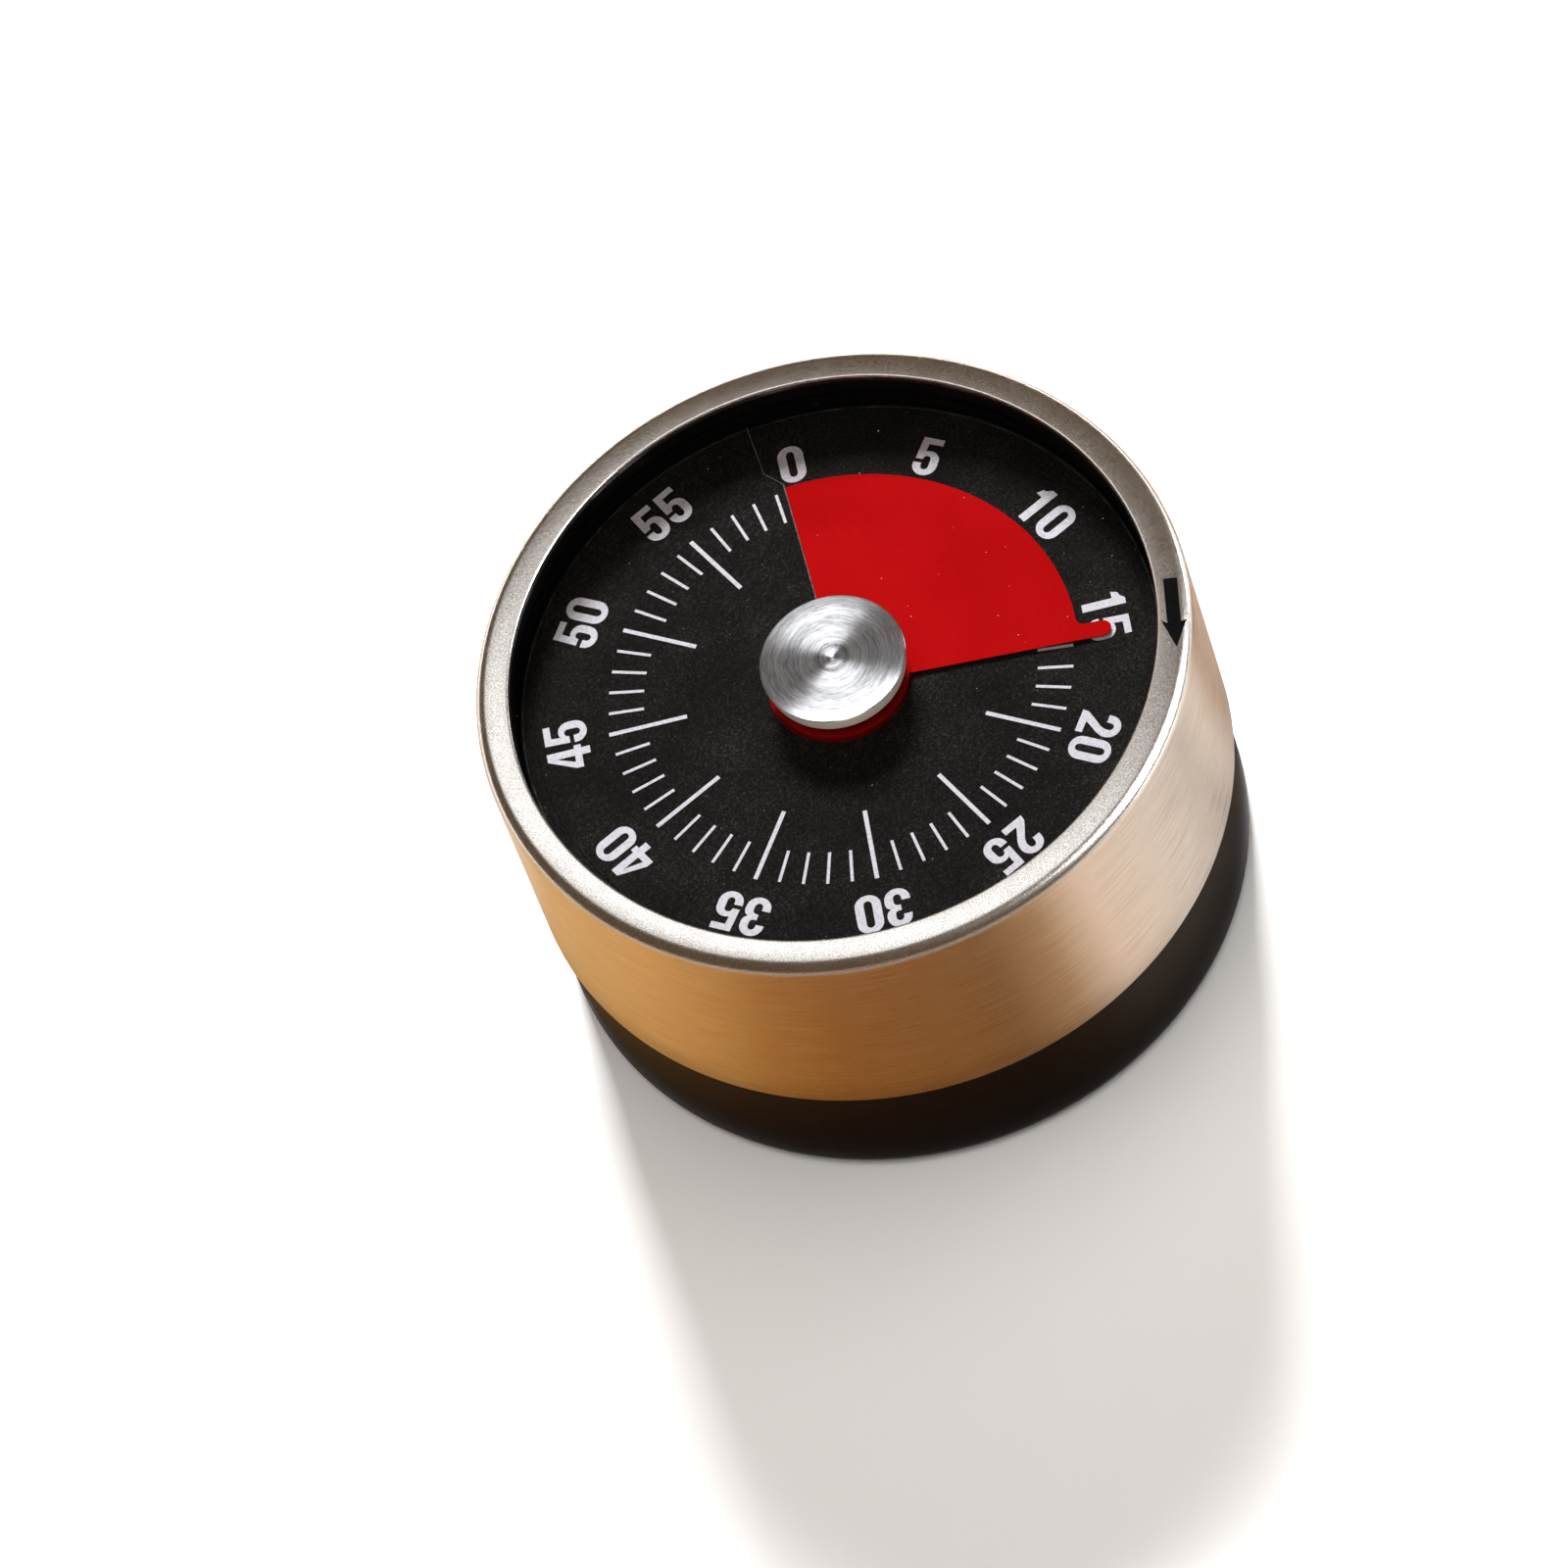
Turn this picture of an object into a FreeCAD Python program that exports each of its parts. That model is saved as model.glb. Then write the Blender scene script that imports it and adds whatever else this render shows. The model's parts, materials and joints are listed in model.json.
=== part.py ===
import FreeCAD, Part
import math
import os
import re
import Sketcher
from FreeCAD import Placement, Rotation, Vector

# Wind-up visual kitchen timer, millimetres, +Z up, origin at the bottom centre.
# +Y points to the 0 mark of the dial and +X to the 15 mark. A steel shell with the window, the
# knob cap and the red sector turns on a black base that holds the clockwork, the bell and the dial.

SIZES = {
    # casing
    "total_height": 43.5,
    "shell_radius": 39.0,
    "shell_wall": 0.8,
    "shell_bottom": 15.7,
    "edge_round": 1.3,
    "lip_round": 0.25,
    "bezel_inner_radius": 35.16,
    # base
    "base_radius": 38.4,
    "base_top": 15.4,
    "base_bottom": 0.4,
    "base_round": 1.6,
    "base_top_round": 0.4,
    "floor_under": 1.0,
    "floor_top": 3.6,
    "cavity_radius": 36.4,
    "cavity_top": 14.4,
    "neck_radius": 36.9,
    "neck_inner_radius": 34.8,
    "neck_top": 21.5,
    "tower_radius": 36.3,
    "tower_top": 35.2,
    "groove_radius": 36.1,
    "groove_bottom": 17.9,
    "groove_top": 19.4,
    "ring_inner_radius": 36.35,
    "ring_play": 0.15,
    "ring_opening_angle": 15.0,
    "pad_radius": 34.0,
    "pad_play": 0.15,
    "pad_round": 0.35,
    "magnet_radius": 5.0,
    "magnet_height": 1.8,
    "magnet_circle": 24.0,
    "magnet_play": 0.05,
    # bell and hammer
    "post_radius": 4.0,
    "post_top": 10.2,
    "post_hole_bottom": 5.0,
    "bell_radius": 24.0,
    "bell_wall": 0.8,
    "bell_bottom": 5.0,
    "bell_round": 2.5,
    "bell_screw_radius": 1.3,
    "bell_screw_gap": 0.4,
    "bell_screw_head_radius": 2.4,
    "bell_screw_head_height": 0.95,
    "hammer_circle": 29.0,
    "hammer_angle": 250.0,
    "hammer_head_circle": 25.7,
    "hammer_head_angle": 225.0,
    "hammer_pin_radius": 0.8,
    "hammer_bottom": 7.0,
    "hammer_thickness": 1.6,
    "hammer_arm_width": 1.8,
    "hammer_hub_radius": 2.0,
    "hammer_hub_height": 2.6,
    "hammer_head_radius": 1.2,
    "hammer_head_height": 2.0,
    "hammer_peg_radius": 0.5,
    # movement frame
    "lower_plate_bottom": 14.0,
    "upper_plate_bottom": 27.0,
    "plate_thickness": 1.2,
    "plate_radius": 34.0,
    "fixing_circle": 30.0,
    "fixing_angle": 10.0,
    "boss_radius": 3.0,
    "screw_radius": 1.0,
    "screw_head_radius": 2.0,
    "screw_head_height": 1.3,
    "screw_depth": 7.0,
    "dial_screw_depth": 6.0,
    "slot_width": 0.5,
    "slot_depth": 0.5,
    "joining_overlap": 0.1,
    "pillar_radius": 2.0,
    "pillar_end_radius": 1.0,
    "nut_radius": 2.1,
    "nut_height": 1.4,
    "pillar_end_over_nut": 0.2,
    "spacer_radius": 2.4,
    "arbor_radius": 1.8,
    "pivot_radius": 0.6,
    "staff_radius": 1.0,
    "staff_end_play": 0.2,
    "running_play": 0.04,
    # going train
    "tooth_module": 0.5,
    "tooth_addendum": 0.8,
    "tooth_dedendum": 1.05,
    "tooth_backlash": 0.04,
    "pressure_angle": 25.0,
    "main_teeth": 60,
    "second_teeth": 48,
    "third_teeth": 36,
    "pinion_teeth": 12,
    "wheel_thickness": 0.8,
    "wheel_boss": 1.5,
    "wheel_rim": 1.2,
    "pinion_height": 1.9,
    "second_angle": 200.0,
    "third_angle": 246.12,
    "third_circle": 20.0,
    "escape_angle": 281.02,
    "escape_circle": 20.0,
    "balance_angle": 298.67,
    "balance_circle": 25.71,
    "main_wheel_bottom": 20.8,
    "second_wheel_bottom": 22.8,
    "third_wheel_bottom": 24.9,
    "escape_wheel_bottom": 22.6,
    "escape_teeth": 15,
    "escape_radius": 6.0,
    "escape_root_radius": 4.5,
    "escape_rim_radius": 3.8,
    "escape_boss_radius": 2.0,
    "pallet_circle": 6.45,
    "pallet_angle": 36.0,
    "pallet_pin_radius": 0.3,
    "pallet_pin_height": 3.0,
    "pallet_margin": 0.7,
    "pallet_level": 21.2,
    "pallet_thickness": 0.8,
    "pallet_boss_radius": 2.0,
    "pallet_tail": 1.5,
    "pallet_waist": 0.4,
    "balance_radius": 5.0,
    "balance_level": 24.6,
    "balance_thickness": 1.2,
    "balance_rim": 1.2,
    "balance_bar_width": 1.4,
    "balance_boss_radius": 1.8,
    # mainspring and release
    "spring_bottom": 16.0,
    "spring_height": 4.0,
    "spring_inner_radius": 3.0,
    "spring_outer_radius": 13.0,
    "spring_turns": 9,
    "spring_thickness": 0.35,
    "collet_radius": 2.6,
    "spring_post_radius": 0.8,
    "cam_radius": 8.0,
    "cam_bottom": 12.4,
    "cam_thickness": 1.0,
    "cam_notch_radius": 6.4,
    "cam_notch_width": 2.4,
    "cam_notch_mouth": 4.4,
    "lever_circle": 18.0,
    "lever_angle": 150.0,
    "lever_gap": 0.15,
    "lever_screw_head_radius": 1.6,
    "lever_screw_head_height": 0.8,
    # dial and sector
    "dial_top": 38.15,
    "dial_thickness": 0.12,
    "dial_radius": 35.0,
    "dial_hole_radius": 7.85,
    "carrier_floor": 1.0,
    "carrier_wall": 1.2,
    "carrier_hole_radius": 3.2,
    "rest_height": 0.15,
    "rest_radius": 0.5,
    "film_thickness": 0.1,
    "film_radius": 26.0,
    "film_clearance": 0.04,
    "film_rise_per_degree": 0.0035,
    "film_angle": 338.0,
    "slit_angle": 4.5,
    "slit_outer_angle": 8.0,
    "slit_jog_inner": 26.3,
    "slit_jog_outer": 28.5,
    "slit_width": 0.15,
    "edge_angle": 92.97,
    "edge_offset": 1.08,
    "tab_radius": 29.6,
    "tab_width": 1.94,
    "tab_root": 25.0,
    "tab_lift": 0.02,
    "hub_radius": 7.6,
    "hub_bottom": 37.05,
    "hub_top": 38.65,
    "square_side": 4.0,
    "square_play": 0.05,
    "square_bottom": 36.5,
    # window and knob
    "window_bottom": 39.7,
    "window_thickness": 0.75,
    "window_radius": 36.0,
    "wall_inner_radius": 35.3,
    "wall_bottom": 36.8,
    "cap_radius": 7.95,
    "cap_top": 42.7,
    "cap_edge": 0.25,
    "cap_dimple_radius": 0.8,
    "cap_dimple_depth": 0.25,
    "cap_roof": 0.6,
}

doc = FreeCAD.newDocument("KitchenTimer")
sheet = doc.addObject("Spreadsheet::Sheet", "Sizes")
NODES = []


def fill_sheet():
    for row, (name, value) in enumerate(SIZES.items(), start=1):
        sheet.set("A%d" % row, name)
        sheet.set("B%d" % row, str(value))
        sheet.setAlias("B%d" % row, name)
    doc.recompute()


def size(name):
    return float(sheet.get(name))


def bound(words):
    """An expression whose size names point at the sheet."""
    def point(match):
        word = match.group(0)
        return "Sizes." + word if word in SIZES else word

    return re.sub(r"[a-z_]{4,}", point, words)


def polar(circle, angle, swing="0"):
    """The two expressions of a point on a circle, its angle in degrees from +X."""
    turn = "(%s + %s) * 1 deg" % (angle, swing)
    return "%s * cos(%s)" % (circle, turn), "%s * sin(%s)" % (circle, turn)


def polar_point(circle, angle):
    turn = math.radians(size(angle))
    return Vector(size(circle) * math.cos(turn), size(circle) * math.sin(turn), 0)


def add_node(item, label):
    item.Label = label
    NODES.append(item)
    return item


def new_body(label):
    body = doc.addObject("PartDesign::Body", label + "_body")
    body.AllowCompound = True
    return add_node(body, label)


def plane(body, role):
    return [f for f in body.Origin.OriginFeatures if f.Role == role][0]


def new_sketch(body, name, role, level="0"):
    sketch = body.newObject("Sketcher::SketchObject", name)
    sketch.AttachmentSupport = [(plane(body, role), "")]
    sketch.MapMode = "FlatFace"
    if level != "0":
        sketch.setExpression("AttachmentOffset.Base.z", bound(level))
    return sketch


def fix_point(sketch, geometry, position, across, along):
    """Ties one sketch point to the sketch axes by two expressions."""
    for kind, words, axis in (("DistanceX", across, -2), ("DistanceY", along, -1)):
        if words == "0":
            sketch.addConstraint(Sketcher.Constraint("PointOnObject", geometry, position, axis))
        else:
            index = sketch.addConstraint(Sketcher.Constraint(kind, -1, 1, geometry, position, 1.0))
            sketch.setExpression("Constraints[%d]" % index, bound(words))


def polygon(sketch, points):
    """A closed outline of straight lines whose corners are pairs of expressions."""
    count = len(points)
    rough = [Vector(5 + math.cos(2 * math.pi * k / count), 5 + math.sin(2 * math.pi * k / count), 0)
             for k in range(count)]
    first = sketch.GeometryCount
    for k in range(count):
        sketch.addGeometry(Part.LineSegment(rough[k], rough[(k + 1) % count]), False)
    for k in range(count):
        after = first + (k + 1) % count
        sketch.addConstraint(Sketcher.Constraint("Coincident", first + k, 2, after, 1))
    for k, (across, along) in enumerate(points):
        fix_point(sketch, first + k, 1, across, along)


def circles(sketch, places, radius):
    for across, along in places:
        index = sketch.addGeometry(Part.Circle(Vector(1, 1, 0), Vector(0, 0, 1), 1.0), False)
        fix_point(sketch, index, 3, across, along)
        constraint = sketch.addConstraint(Sketcher.Constraint("Radius", index, 1.0))
        sketch.setExpression("Constraints[%d]" % constraint, bound(radius))


def pad(body, sketch, length, name="Pad"):
    feature = body.newObject("PartDesign::Pad", name)
    feature.Profile = sketch
    feature.setExpression("Length", bound(length))
    sketch.Visibility = False
    doc.recompute()
    return feature


def pocket(body, sketch, length, upward=False):
    """Cuts into the solid and makes sure that something was cut."""
    before = body.Shape.Volume
    feature = body.newObject("PartDesign::Pocket", "Pocket")
    feature.Profile = sketch
    feature.Reversed = upward
    feature.setExpression("Length", bound(length))
    doc.recompute()
    if body.Shape.Volume > before - 1e-3:
        raise RuntimeError("a pocket cuts nothing in " + body.Label)
    return feature


def turned(label, points, angle=None):
    """A body of revolution about Z from an outline of (radius, height) expressions."""
    body = new_body(label)
    sketch = new_sketch(body, "Outline", "XZ_Plane")
    polygon(sketch, points)
    feature = body.newObject("PartDesign::Revolution", "Revolution")
    feature.Profile = sketch
    feature.ReferenceAxis = (sketch, ["V_Axis"])
    feature.Angle = 360
    if angle:
        feature.setExpression("Angle", bound(angle))
    doc.recompute()
    return body


def round_edges(body, rims, radius, kind="Fillet"):
    """Rounds or bevels the circular edges that lie at the given (radius, height) values."""
    solid = body.Tip
    names = []
    for index, edge in enumerate(solid.Shape.Edges, start=1):
        if isinstance(edge.Curve, Part.Circle):
            for rim_radius, height in rims:
                near = abs(edge.Curve.Radius - rim_radius) < 1e-4
                if near and abs(edge.Curve.Center.z - height) < 1e-4:
                    names.append("Edge%d" % index)
    if len(names) < len(rims):
        raise RuntimeError("an edge to round is missing in " + body.Label)
    feature = body.newObject("PartDesign::" + kind, kind)
    feature.Base = (solid, names)
    feature.setExpression("Radius" if kind == "Fillet" else "Size", bound(radius))
    doc.recompute()
    return feature


def put(body, across, along, height="0"):
    """Moves a body from the axis of the timer to its own place."""
    for axis, words in zip("xyz", (across, along, height)):
        if words != "0":
            body.setExpression("Placement.Base." + axis, bound(words))


def plain_part(label, shape, place=None):
    """A sub-part whose curved form is set directly from the sheet's sizes."""
    item = doc.addObject("Part::Feature", label + "_shape")
    item.Shape = shape
    if place:
        item.Placement = place
    return add_node(item, label)


# ---- places that several pieces share ----

FIXINGS = [polar("fixing_circle", "fixing_angle", str(90 * k)) for k in range(4)]
PILLARS = [polar("fixing_circle", str(angle)) for angle in (60, 140, 226, 330)]
SECOND = polar("(main_teeth + pinion_teeth) * tooth_module / 2", "second_angle")
THIRD = polar("third_circle", "third_angle")
ESCAPE = polar("escape_circle", "escape_angle")
BALANCE = polar("balance_circle", "balance_angle")
HAMMER = polar("hammer_circle", "hammer_angle")
LEVER = polar("lever_circle", "lever_angle")
SPRING_POST = polar("spring_outer_radius + 1.1", "90")
UPPER_TOP = "(upper_plate_bottom + plate_thickness)"
LOWER_TOP = "(lower_plate_bottom + plate_thickness)"


# ---- base ----

def base_cup():
    body = turned("base_cup", [
        ("0", "floor_under"), ("pad_radius", "floor_under"), ("pad_radius", "base_bottom"),
        ("base_radius", "base_bottom"), ("base_radius", "base_top"), ("neck_radius", "base_top"),
        ("neck_radius", "groove_bottom"), ("groove_radius", "groove_bottom"),
        ("groove_radius", "groove_top"), ("neck_radius", "groove_top"), ("neck_radius", "neck_top"),
        ("tower_radius", "neck_top"), ("tower_radius", "tower_top"), ("neck_inner_radius", "tower_top"),
        ("neck_inner_radius", "cavity_top"), ("cavity_radius", "cavity_top"),
        ("cavity_radius", "floor_top"), ("post_radius", "floor_top"), ("post_radius", "post_top"),
        ("bell_screw_radius", "post_top"), ("bell_screw_radius", "post_hole_bottom"),
        ("0", "post_hole_bottom")])
    bosses = new_sketch(body, "Bosses", "XY_Plane", "floor_top - joining_overlap")
    circles(bosses, FIXINGS, "boss_radius")
    pad(body, bosses, "lower_plate_bottom - floor_top + joining_overlap")
    holes = new_sketch(body, "BossHoles", "XY_Plane", "lower_plate_bottom")
    circles(holes, FIXINGS, "screw_radius")
    pocket(body, holes, "screw_depth")
    seats = new_sketch(body, "MagnetSeats", "XY_Plane", "floor_under")
    circles(seats, magnet_places(), "magnet_radius + magnet_play")
    pocket(body, seats, "magnet_height + magnet_play", upward=True)
    round_edges(body, [(size("base_radius"), size("base_bottom"))], "base_round")
    round_edges(body, [(size("base_radius"), size("base_top"))], "base_top_round")


def magnet_places():
    return [polar("magnet_circle", "45", str(90 * k)) for k in range(4)]


def magnets():
    body = new_body("magnets")
    sketch = new_sketch(body, "Discs", "XY_Plane", "floor_under")
    circles(sketch, magnet_places(), "magnet_radius")
    pad(body, sketch, "magnet_height")


def foot_pad():
    body = turned("foot_pad", [
        ("0", "0"), ("pad_radius - pad_play", "0"), ("pad_radius - pad_play", "floor_under"),
        ("0", "floor_under")])
    round_edges(body, [(size("pad_radius") - size("pad_play"), 0.0)], "pad_round")


# ---- bell and hammer ----

def bell():
    inside = "bell_radius - bell_wall"
    body = turned("bell", [
        ("bell_screw_radius", "post_top"), (inside, "post_top"), (inside, "bell_bottom"),
        ("bell_radius", "bell_bottom"), ("bell_radius", "post_top + bell_wall"),
        ("bell_screw_radius", "post_top + bell_wall")])
    top = size("post_top") + size("bell_wall")
    round_edges(body, [(size("bell_radius"), top)], "bell_round")
    round_edges(body, [(size("bell_radius") - size("bell_wall"), size("post_top"))], "bell_round - bell_wall")


def bell_screw():
    under_head = "post_top + bell_wall"
    top = under_head + " + bell_screw_head_height"
    bottom = "post_hole_bottom + bell_screw_gap"
    body = turned("bell_screw", [
        ("0", bottom), ("bell_screw_radius", bottom), ("bell_screw_radius", under_head),
        ("bell_screw_head_radius", under_head), ("bell_screw_head_radius", top), ("0", top)])
    screw_slot(body, top, [("0", "0")], "screw_head_radius")


def screw_slot(body, level, places, reach):
    """The driver slots across the screw heads."""
    sketch = new_sketch(body, "Slots", "XY_Plane", level)
    for across, along in places:
        left, right = across + " - " + reach, across + " + " + reach
        low, high = along + " - slot_width / 2", along + " + slot_width / 2"
        polygon(sketch, [(left, low), (right, low), (right, high), (left, high)])
    pocket(body, sketch, "slot_depth")


def hammer_pin():
    body = turned("hammer_pin", [
        ("0", "floor_top"), ("hammer_pin_radius", "floor_top"), ("hammer_pin_radius", LOWER_TOP),
        ("0", LOWER_TOP)])
    put(body, *HAMMER)


def hammer_arm():
    """A flat arm from the pivot pin to the head, drawn along its own X axis."""
    pivot = polar_point("hammer_circle", "hammer_angle")
    head = polar_point("hammer_head_circle", "hammer_head_angle")
    reach = head - pivot
    width, thickness = size("hammer_arm_width"), size("hammer_thickness")
    end_of_arm = Vector(reach.Length, 0, 0)
    bar = Part.makeBox(reach.Length, width, thickness, Vector(0, -width / 2, 0))
    hub = Part.makeCylinder(size("hammer_hub_radius"), size("hammer_hub_height"))
    end = Part.makeCylinder(width / 2, thickness, end_of_arm)
    hole = Part.makeCylinder(size("hammer_pin_radius") + size("running_play"), size("hammer_hub_height"))
    seat = Part.makeCylinder(size("hammer_peg_radius"), thickness, end_of_arm)
    arm = bar.fuse([hub, end]).cut(hole).cut(seat)
    place = Placement(pivot + Vector(0, 0, size("hammer_bottom")), Rotation(Vector(1, 0, 0), reach))
    plain_part("hammer_arm", arm, place)


def hammer_head():
    low = "hammer_bottom + hammer_thickness"
    high = low + " + hammer_head_height"
    body = turned("hammer_head", [
        ("0", "hammer_bottom"), ("hammer_peg_radius", "hammer_bottom"), ("hammer_peg_radius", low),
        ("hammer_head_radius", low), ("hammer_head_radius", high), ("0", high)])
    put(body, *polar("hammer_head_circle", "hammer_head_angle"))


# ---- movement frame ----

def movement_plate(label, level):
    """A brass plate with the pivot holes of the train and the holes of its fixings."""
    body = new_body(label)
    sketch = new_sketch(body, "Plate", "XY_Plane", level)
    circles(sketch, [("0", "0")], "plate_radius")
    circles(sketch, [("0", "0")], "arbor_radius + running_play")
    circles(sketch, [SECOND, THIRD, ESCAPE, BALANCE], "pivot_radius + running_play")
    circles(sketch, PILLARS, "pillar_end_radius")
    circles(sketch, FIXINGS, "screw_radius")
    if label == "lower_plate":
        circles(sketch, [HAMMER], "hammer_pin_radius")
        circles(sketch, [SPRING_POST], "spring_post_radius")
    pad(body, sketch, "plate_thickness")


def pillars():
    body = new_body("pillars")
    ends = new_sketch(body, "Ends", "XY_Plane", "lower_plate_bottom")
    circles(ends, PILLARS, "pillar_end_radius")
    pad(body, ends, UPPER_TOP + " + nut_height + pillar_end_over_nut - lower_plate_bottom", "Ends_pad")
    middle = new_sketch(body, "Middles", "XY_Plane", LOWER_TOP)
    circles(middle, PILLARS, "pillar_radius")
    pad(body, middle, "upper_plate_bottom - " + LOWER_TOP)


def hexagon(centre, radius):
    return [(centre[0] + " + %s * cos(%d deg)" % (radius, 60 * k),
             centre[1] + " + %s * sin(%d deg)" % (radius, 60 * k)) for k in range(6)]


def pillar_nuts():
    body = new_body("pillar_nuts")
    sketch = new_sketch(body, "Hexagons", "XY_Plane", UPPER_TOP)
    for place in PILLARS:
        polygon(sketch, hexagon(place, "nut_radius"))
    circles(sketch, PILLARS, "pillar_end_radius")
    pad(body, sketch, "nut_height")


def screws(label, head_level, depth):
    """Four slotted cheese-head screws on the fixing circle."""
    body = new_body(label)
    shanks = new_sketch(body, "Shanks", "XY_Plane", "%s - %s" % (head_level, depth))
    circles(shanks, FIXINGS, "screw_radius")
    pad(body, shanks, depth + " + joining_overlap", "Shanks_pad")
    heads = new_sketch(body, "Heads", "XY_Plane", head_level)
    circles(heads, FIXINGS, "screw_head_radius")
    pad(body, heads, "screw_head_height")
    screw_slot(body, head_level + " + screw_head_height", FIXINGS, "screw_head_radius * 0.9")


def dial_spacers():
    body = new_body("dial_spacers")
    sketch = new_sketch(body, "Tubes", "XY_Plane", UPPER_TOP)
    circles(sketch, FIXINGS, "spacer_radius")
    circles(sketch, FIXINGS, "screw_radius")
    pad(body, sketch, "tower_top - " + UPPER_TOP)


# ---- going train ----

def root_of_teeth(teeth):
    return (teeth / 2 - size("tooth_dedendum")) * size("tooth_module")


def gear_outline(teeth):
    """A closed involute tooth outline with a tooth on the +X axis."""
    module = size("tooth_module")
    pressure = math.radians(size("pressure_angle"))
    pitch_radius = teeth * module / 2
    base_radius = pitch_radius * math.cos(pressure)
    tip_radius = pitch_radius + size("tooth_addendum") * module
    root_radius = root_of_teeth(teeth)
    thinning = size("tooth_backlash") / pitch_radius
    half_tooth = math.pi / (2 * teeth) - thinning + math.tan(pressure) - pressure
    shortest_foot = 0.02
    flank_steps = 4
    start_radius = max(base_radius, root_radius + shortest_foot)
    edges = []

    def flank_point(radius, side, centre):
        roll = math.acos(min(1.0, base_radius / radius))
        angle = centre + side * (half_tooth - (math.tan(roll) - roll))
        return Vector(radius * math.cos(angle), radius * math.sin(angle), 0)

    radii = [start_radius + (tip_radius - start_radius) * (k / flank_steps) ** 2
             for k in range(flank_steps + 1)]
    previous_foot = None
    first_foot = None
    for tooth in range(teeth):
        centre = 2 * math.pi * tooth / teeth
        rising = [flank_point(radius, -1, centre) for radius in radii]
        falling = [flank_point(radius, 1, centre) for radius in reversed(radii)]
        foot_in = Vector(rising[0]).normalize() * root_radius
        foot_out = Vector(falling[-1]).normalize() * root_radius
        if previous_foot is not None:
            edges.append(Part.LineSegment(previous_foot, foot_in).toShape())
        else:
            first_foot = foot_in
        edges.append(Part.LineSegment(foot_in, rising[0]).toShape())
        edges.append(smooth_edge(rising))
        edges.append(Part.LineSegment(rising[-1], falling[0]).toShape())
        edges.append(smooth_edge(falling))
        edges.append(Part.LineSegment(falling[-1], foot_out).toShape())
        previous_foot = foot_out
    edges.append(Part.LineSegment(previous_foot, first_foot).toShape())
    return Part.Wire(edges)


def smooth_edge(points):
    curve = Part.BSplineCurve()
    curve.interpolate(points)
    return curve.toShape()


def bore_through(shape, radius):
    """Drills a plate or wheel along Z, whatever its height."""
    box = shape.BoundBox
    return shape.cut(Part.makeCylinder(radius, box.ZLength + 2, Vector(0, 0, box.ZMin - 1)))


def gear(teeth, level, height):
    solid = Part.Face(gear_outline(int(teeth))).extrude(Vector(0, 0, height))
    solid.translate(Vector(0, 0, level))
    return solid


def cut_spokes(disc, inner, outer, count):
    """Opens windows between the spokes of a wheel; a spoke takes a third of its share of the turn."""
    box = disc.BoundBox
    share = 360.0 / count
    floor = Vector(0, 0, box.ZMin - 1)
    windows = []
    for k in range(count):
        ring = Part.makeCylinder(outer, box.ZLength + 2, floor, Vector(0, 0, 1), share * 2 / 3)
        ring = bore_through(ring, inner)
        ring.rotate(Vector(0, 0, 0), Vector(0, 0, 1), share * k)
        windows.append(ring)
    return disc.cut(windows)


def turn_and_move(shape, degrees, place):
    shape.rotate(Vector(0, 0, 0), Vector(0, 0, 1), degrees)
    shape.translate(place)
    return shape


def second_place():
    turn = math.radians(size("second_angle"))
    distance = (size("main_teeth") + size("pinion_teeth")) * size("tooth_module") / 2
    return Vector(distance * math.cos(turn), distance * math.sin(turn), 0)


def direction(start, end):
    return math.degrees(math.atan2(end.y - start.y, end.x - start.x))


def mesh_turn(driver_teeth, driver_turn, driven_teeth, line):
    """The turn that puts a driven gear in mesh, its tooth gap facing the driver's tooth."""
    driver_phase = (line - driver_turn) * driver_teeth / 360.0
    return line + 180 - (0.5 - driver_phase) * 360.0 / driven_teeth


def wheel(label, teeth, level, bore, degrees, place):
    disc = bore_through(gear(teeth, level, size("wheel_thickness")), bore)
    rim = root_of_teeth(teeth) - size("wheel_rim")
    disc = cut_spokes(disc, bore + size("wheel_boss"), rim, 4)
    plain_part(label, turn_and_move(disc, degrees, place))


def staff():
    """A steel rod between the plates on two thin pivots."""
    low = size("lower_plate_bottom")
    high = size("upper_plate_bottom") + size("plate_thickness")
    pivots = Part.makeCylinder(size("pivot_radius"), high - low, Vector(0, 0, low))
    bottom = low + size("plate_thickness") + size("staff_end_play")
    top = size("upper_plate_bottom") - size("staff_end_play")
    return pivots.fuse(Part.makeCylinder(size("staff_radius"), top - bottom, Vector(0, 0, bottom)))


def pinion_arbor(label, pinion_level, degrees, place):
    """A staff with its pinion cut from the same piece."""
    pinion = gear(size("pinion_teeth"), pinion_level, size("pinion_height"))
    plain_part(label, turn_and_move(staff().fuse(pinion), degrees, place))


def going_train():
    """Main wheel, second, third and escape arbors, each in mesh at rest."""
    second, third = second_place(), polar_point("third_circle", "third_angle")
    escape = polar_point("escape_circle", "escape_angle")
    axis = Vector(0, 0, 0)
    pinion = size("pinion_teeth")
    wheel("main_wheel", size("main_teeth"), size("main_wheel_bottom"), size("arbor_radius"), 0, axis)
    turn_2 = mesh_turn(size("main_teeth"), 0, pinion, direction(axis, second))
    turn_3 = mesh_turn(size("second_teeth"), turn_2, pinion, direction(second, third))
    turn_4 = mesh_turn(size("third_teeth"), turn_3, pinion, direction(third, escape))
    bore = size("staff_radius")
    wheel("second_wheel", size("second_teeth"), size("second_wheel_bottom"), bore, turn_2, second)
    wheel("third_wheel", size("third_teeth"), size("third_wheel_bottom"), bore, turn_3, third)
    below = (size("pinion_height") - size("wheel_thickness")) / 2
    pinion_arbor("second_arbor", size("main_wheel_bottom") - below, turn_2, second)
    pinion_arbor("third_arbor", size("second_wheel_bottom") - below, turn_3, third)
    pinion_arbor("escape_arbor", size("third_wheel_bottom") - below, turn_4, escape)


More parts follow.
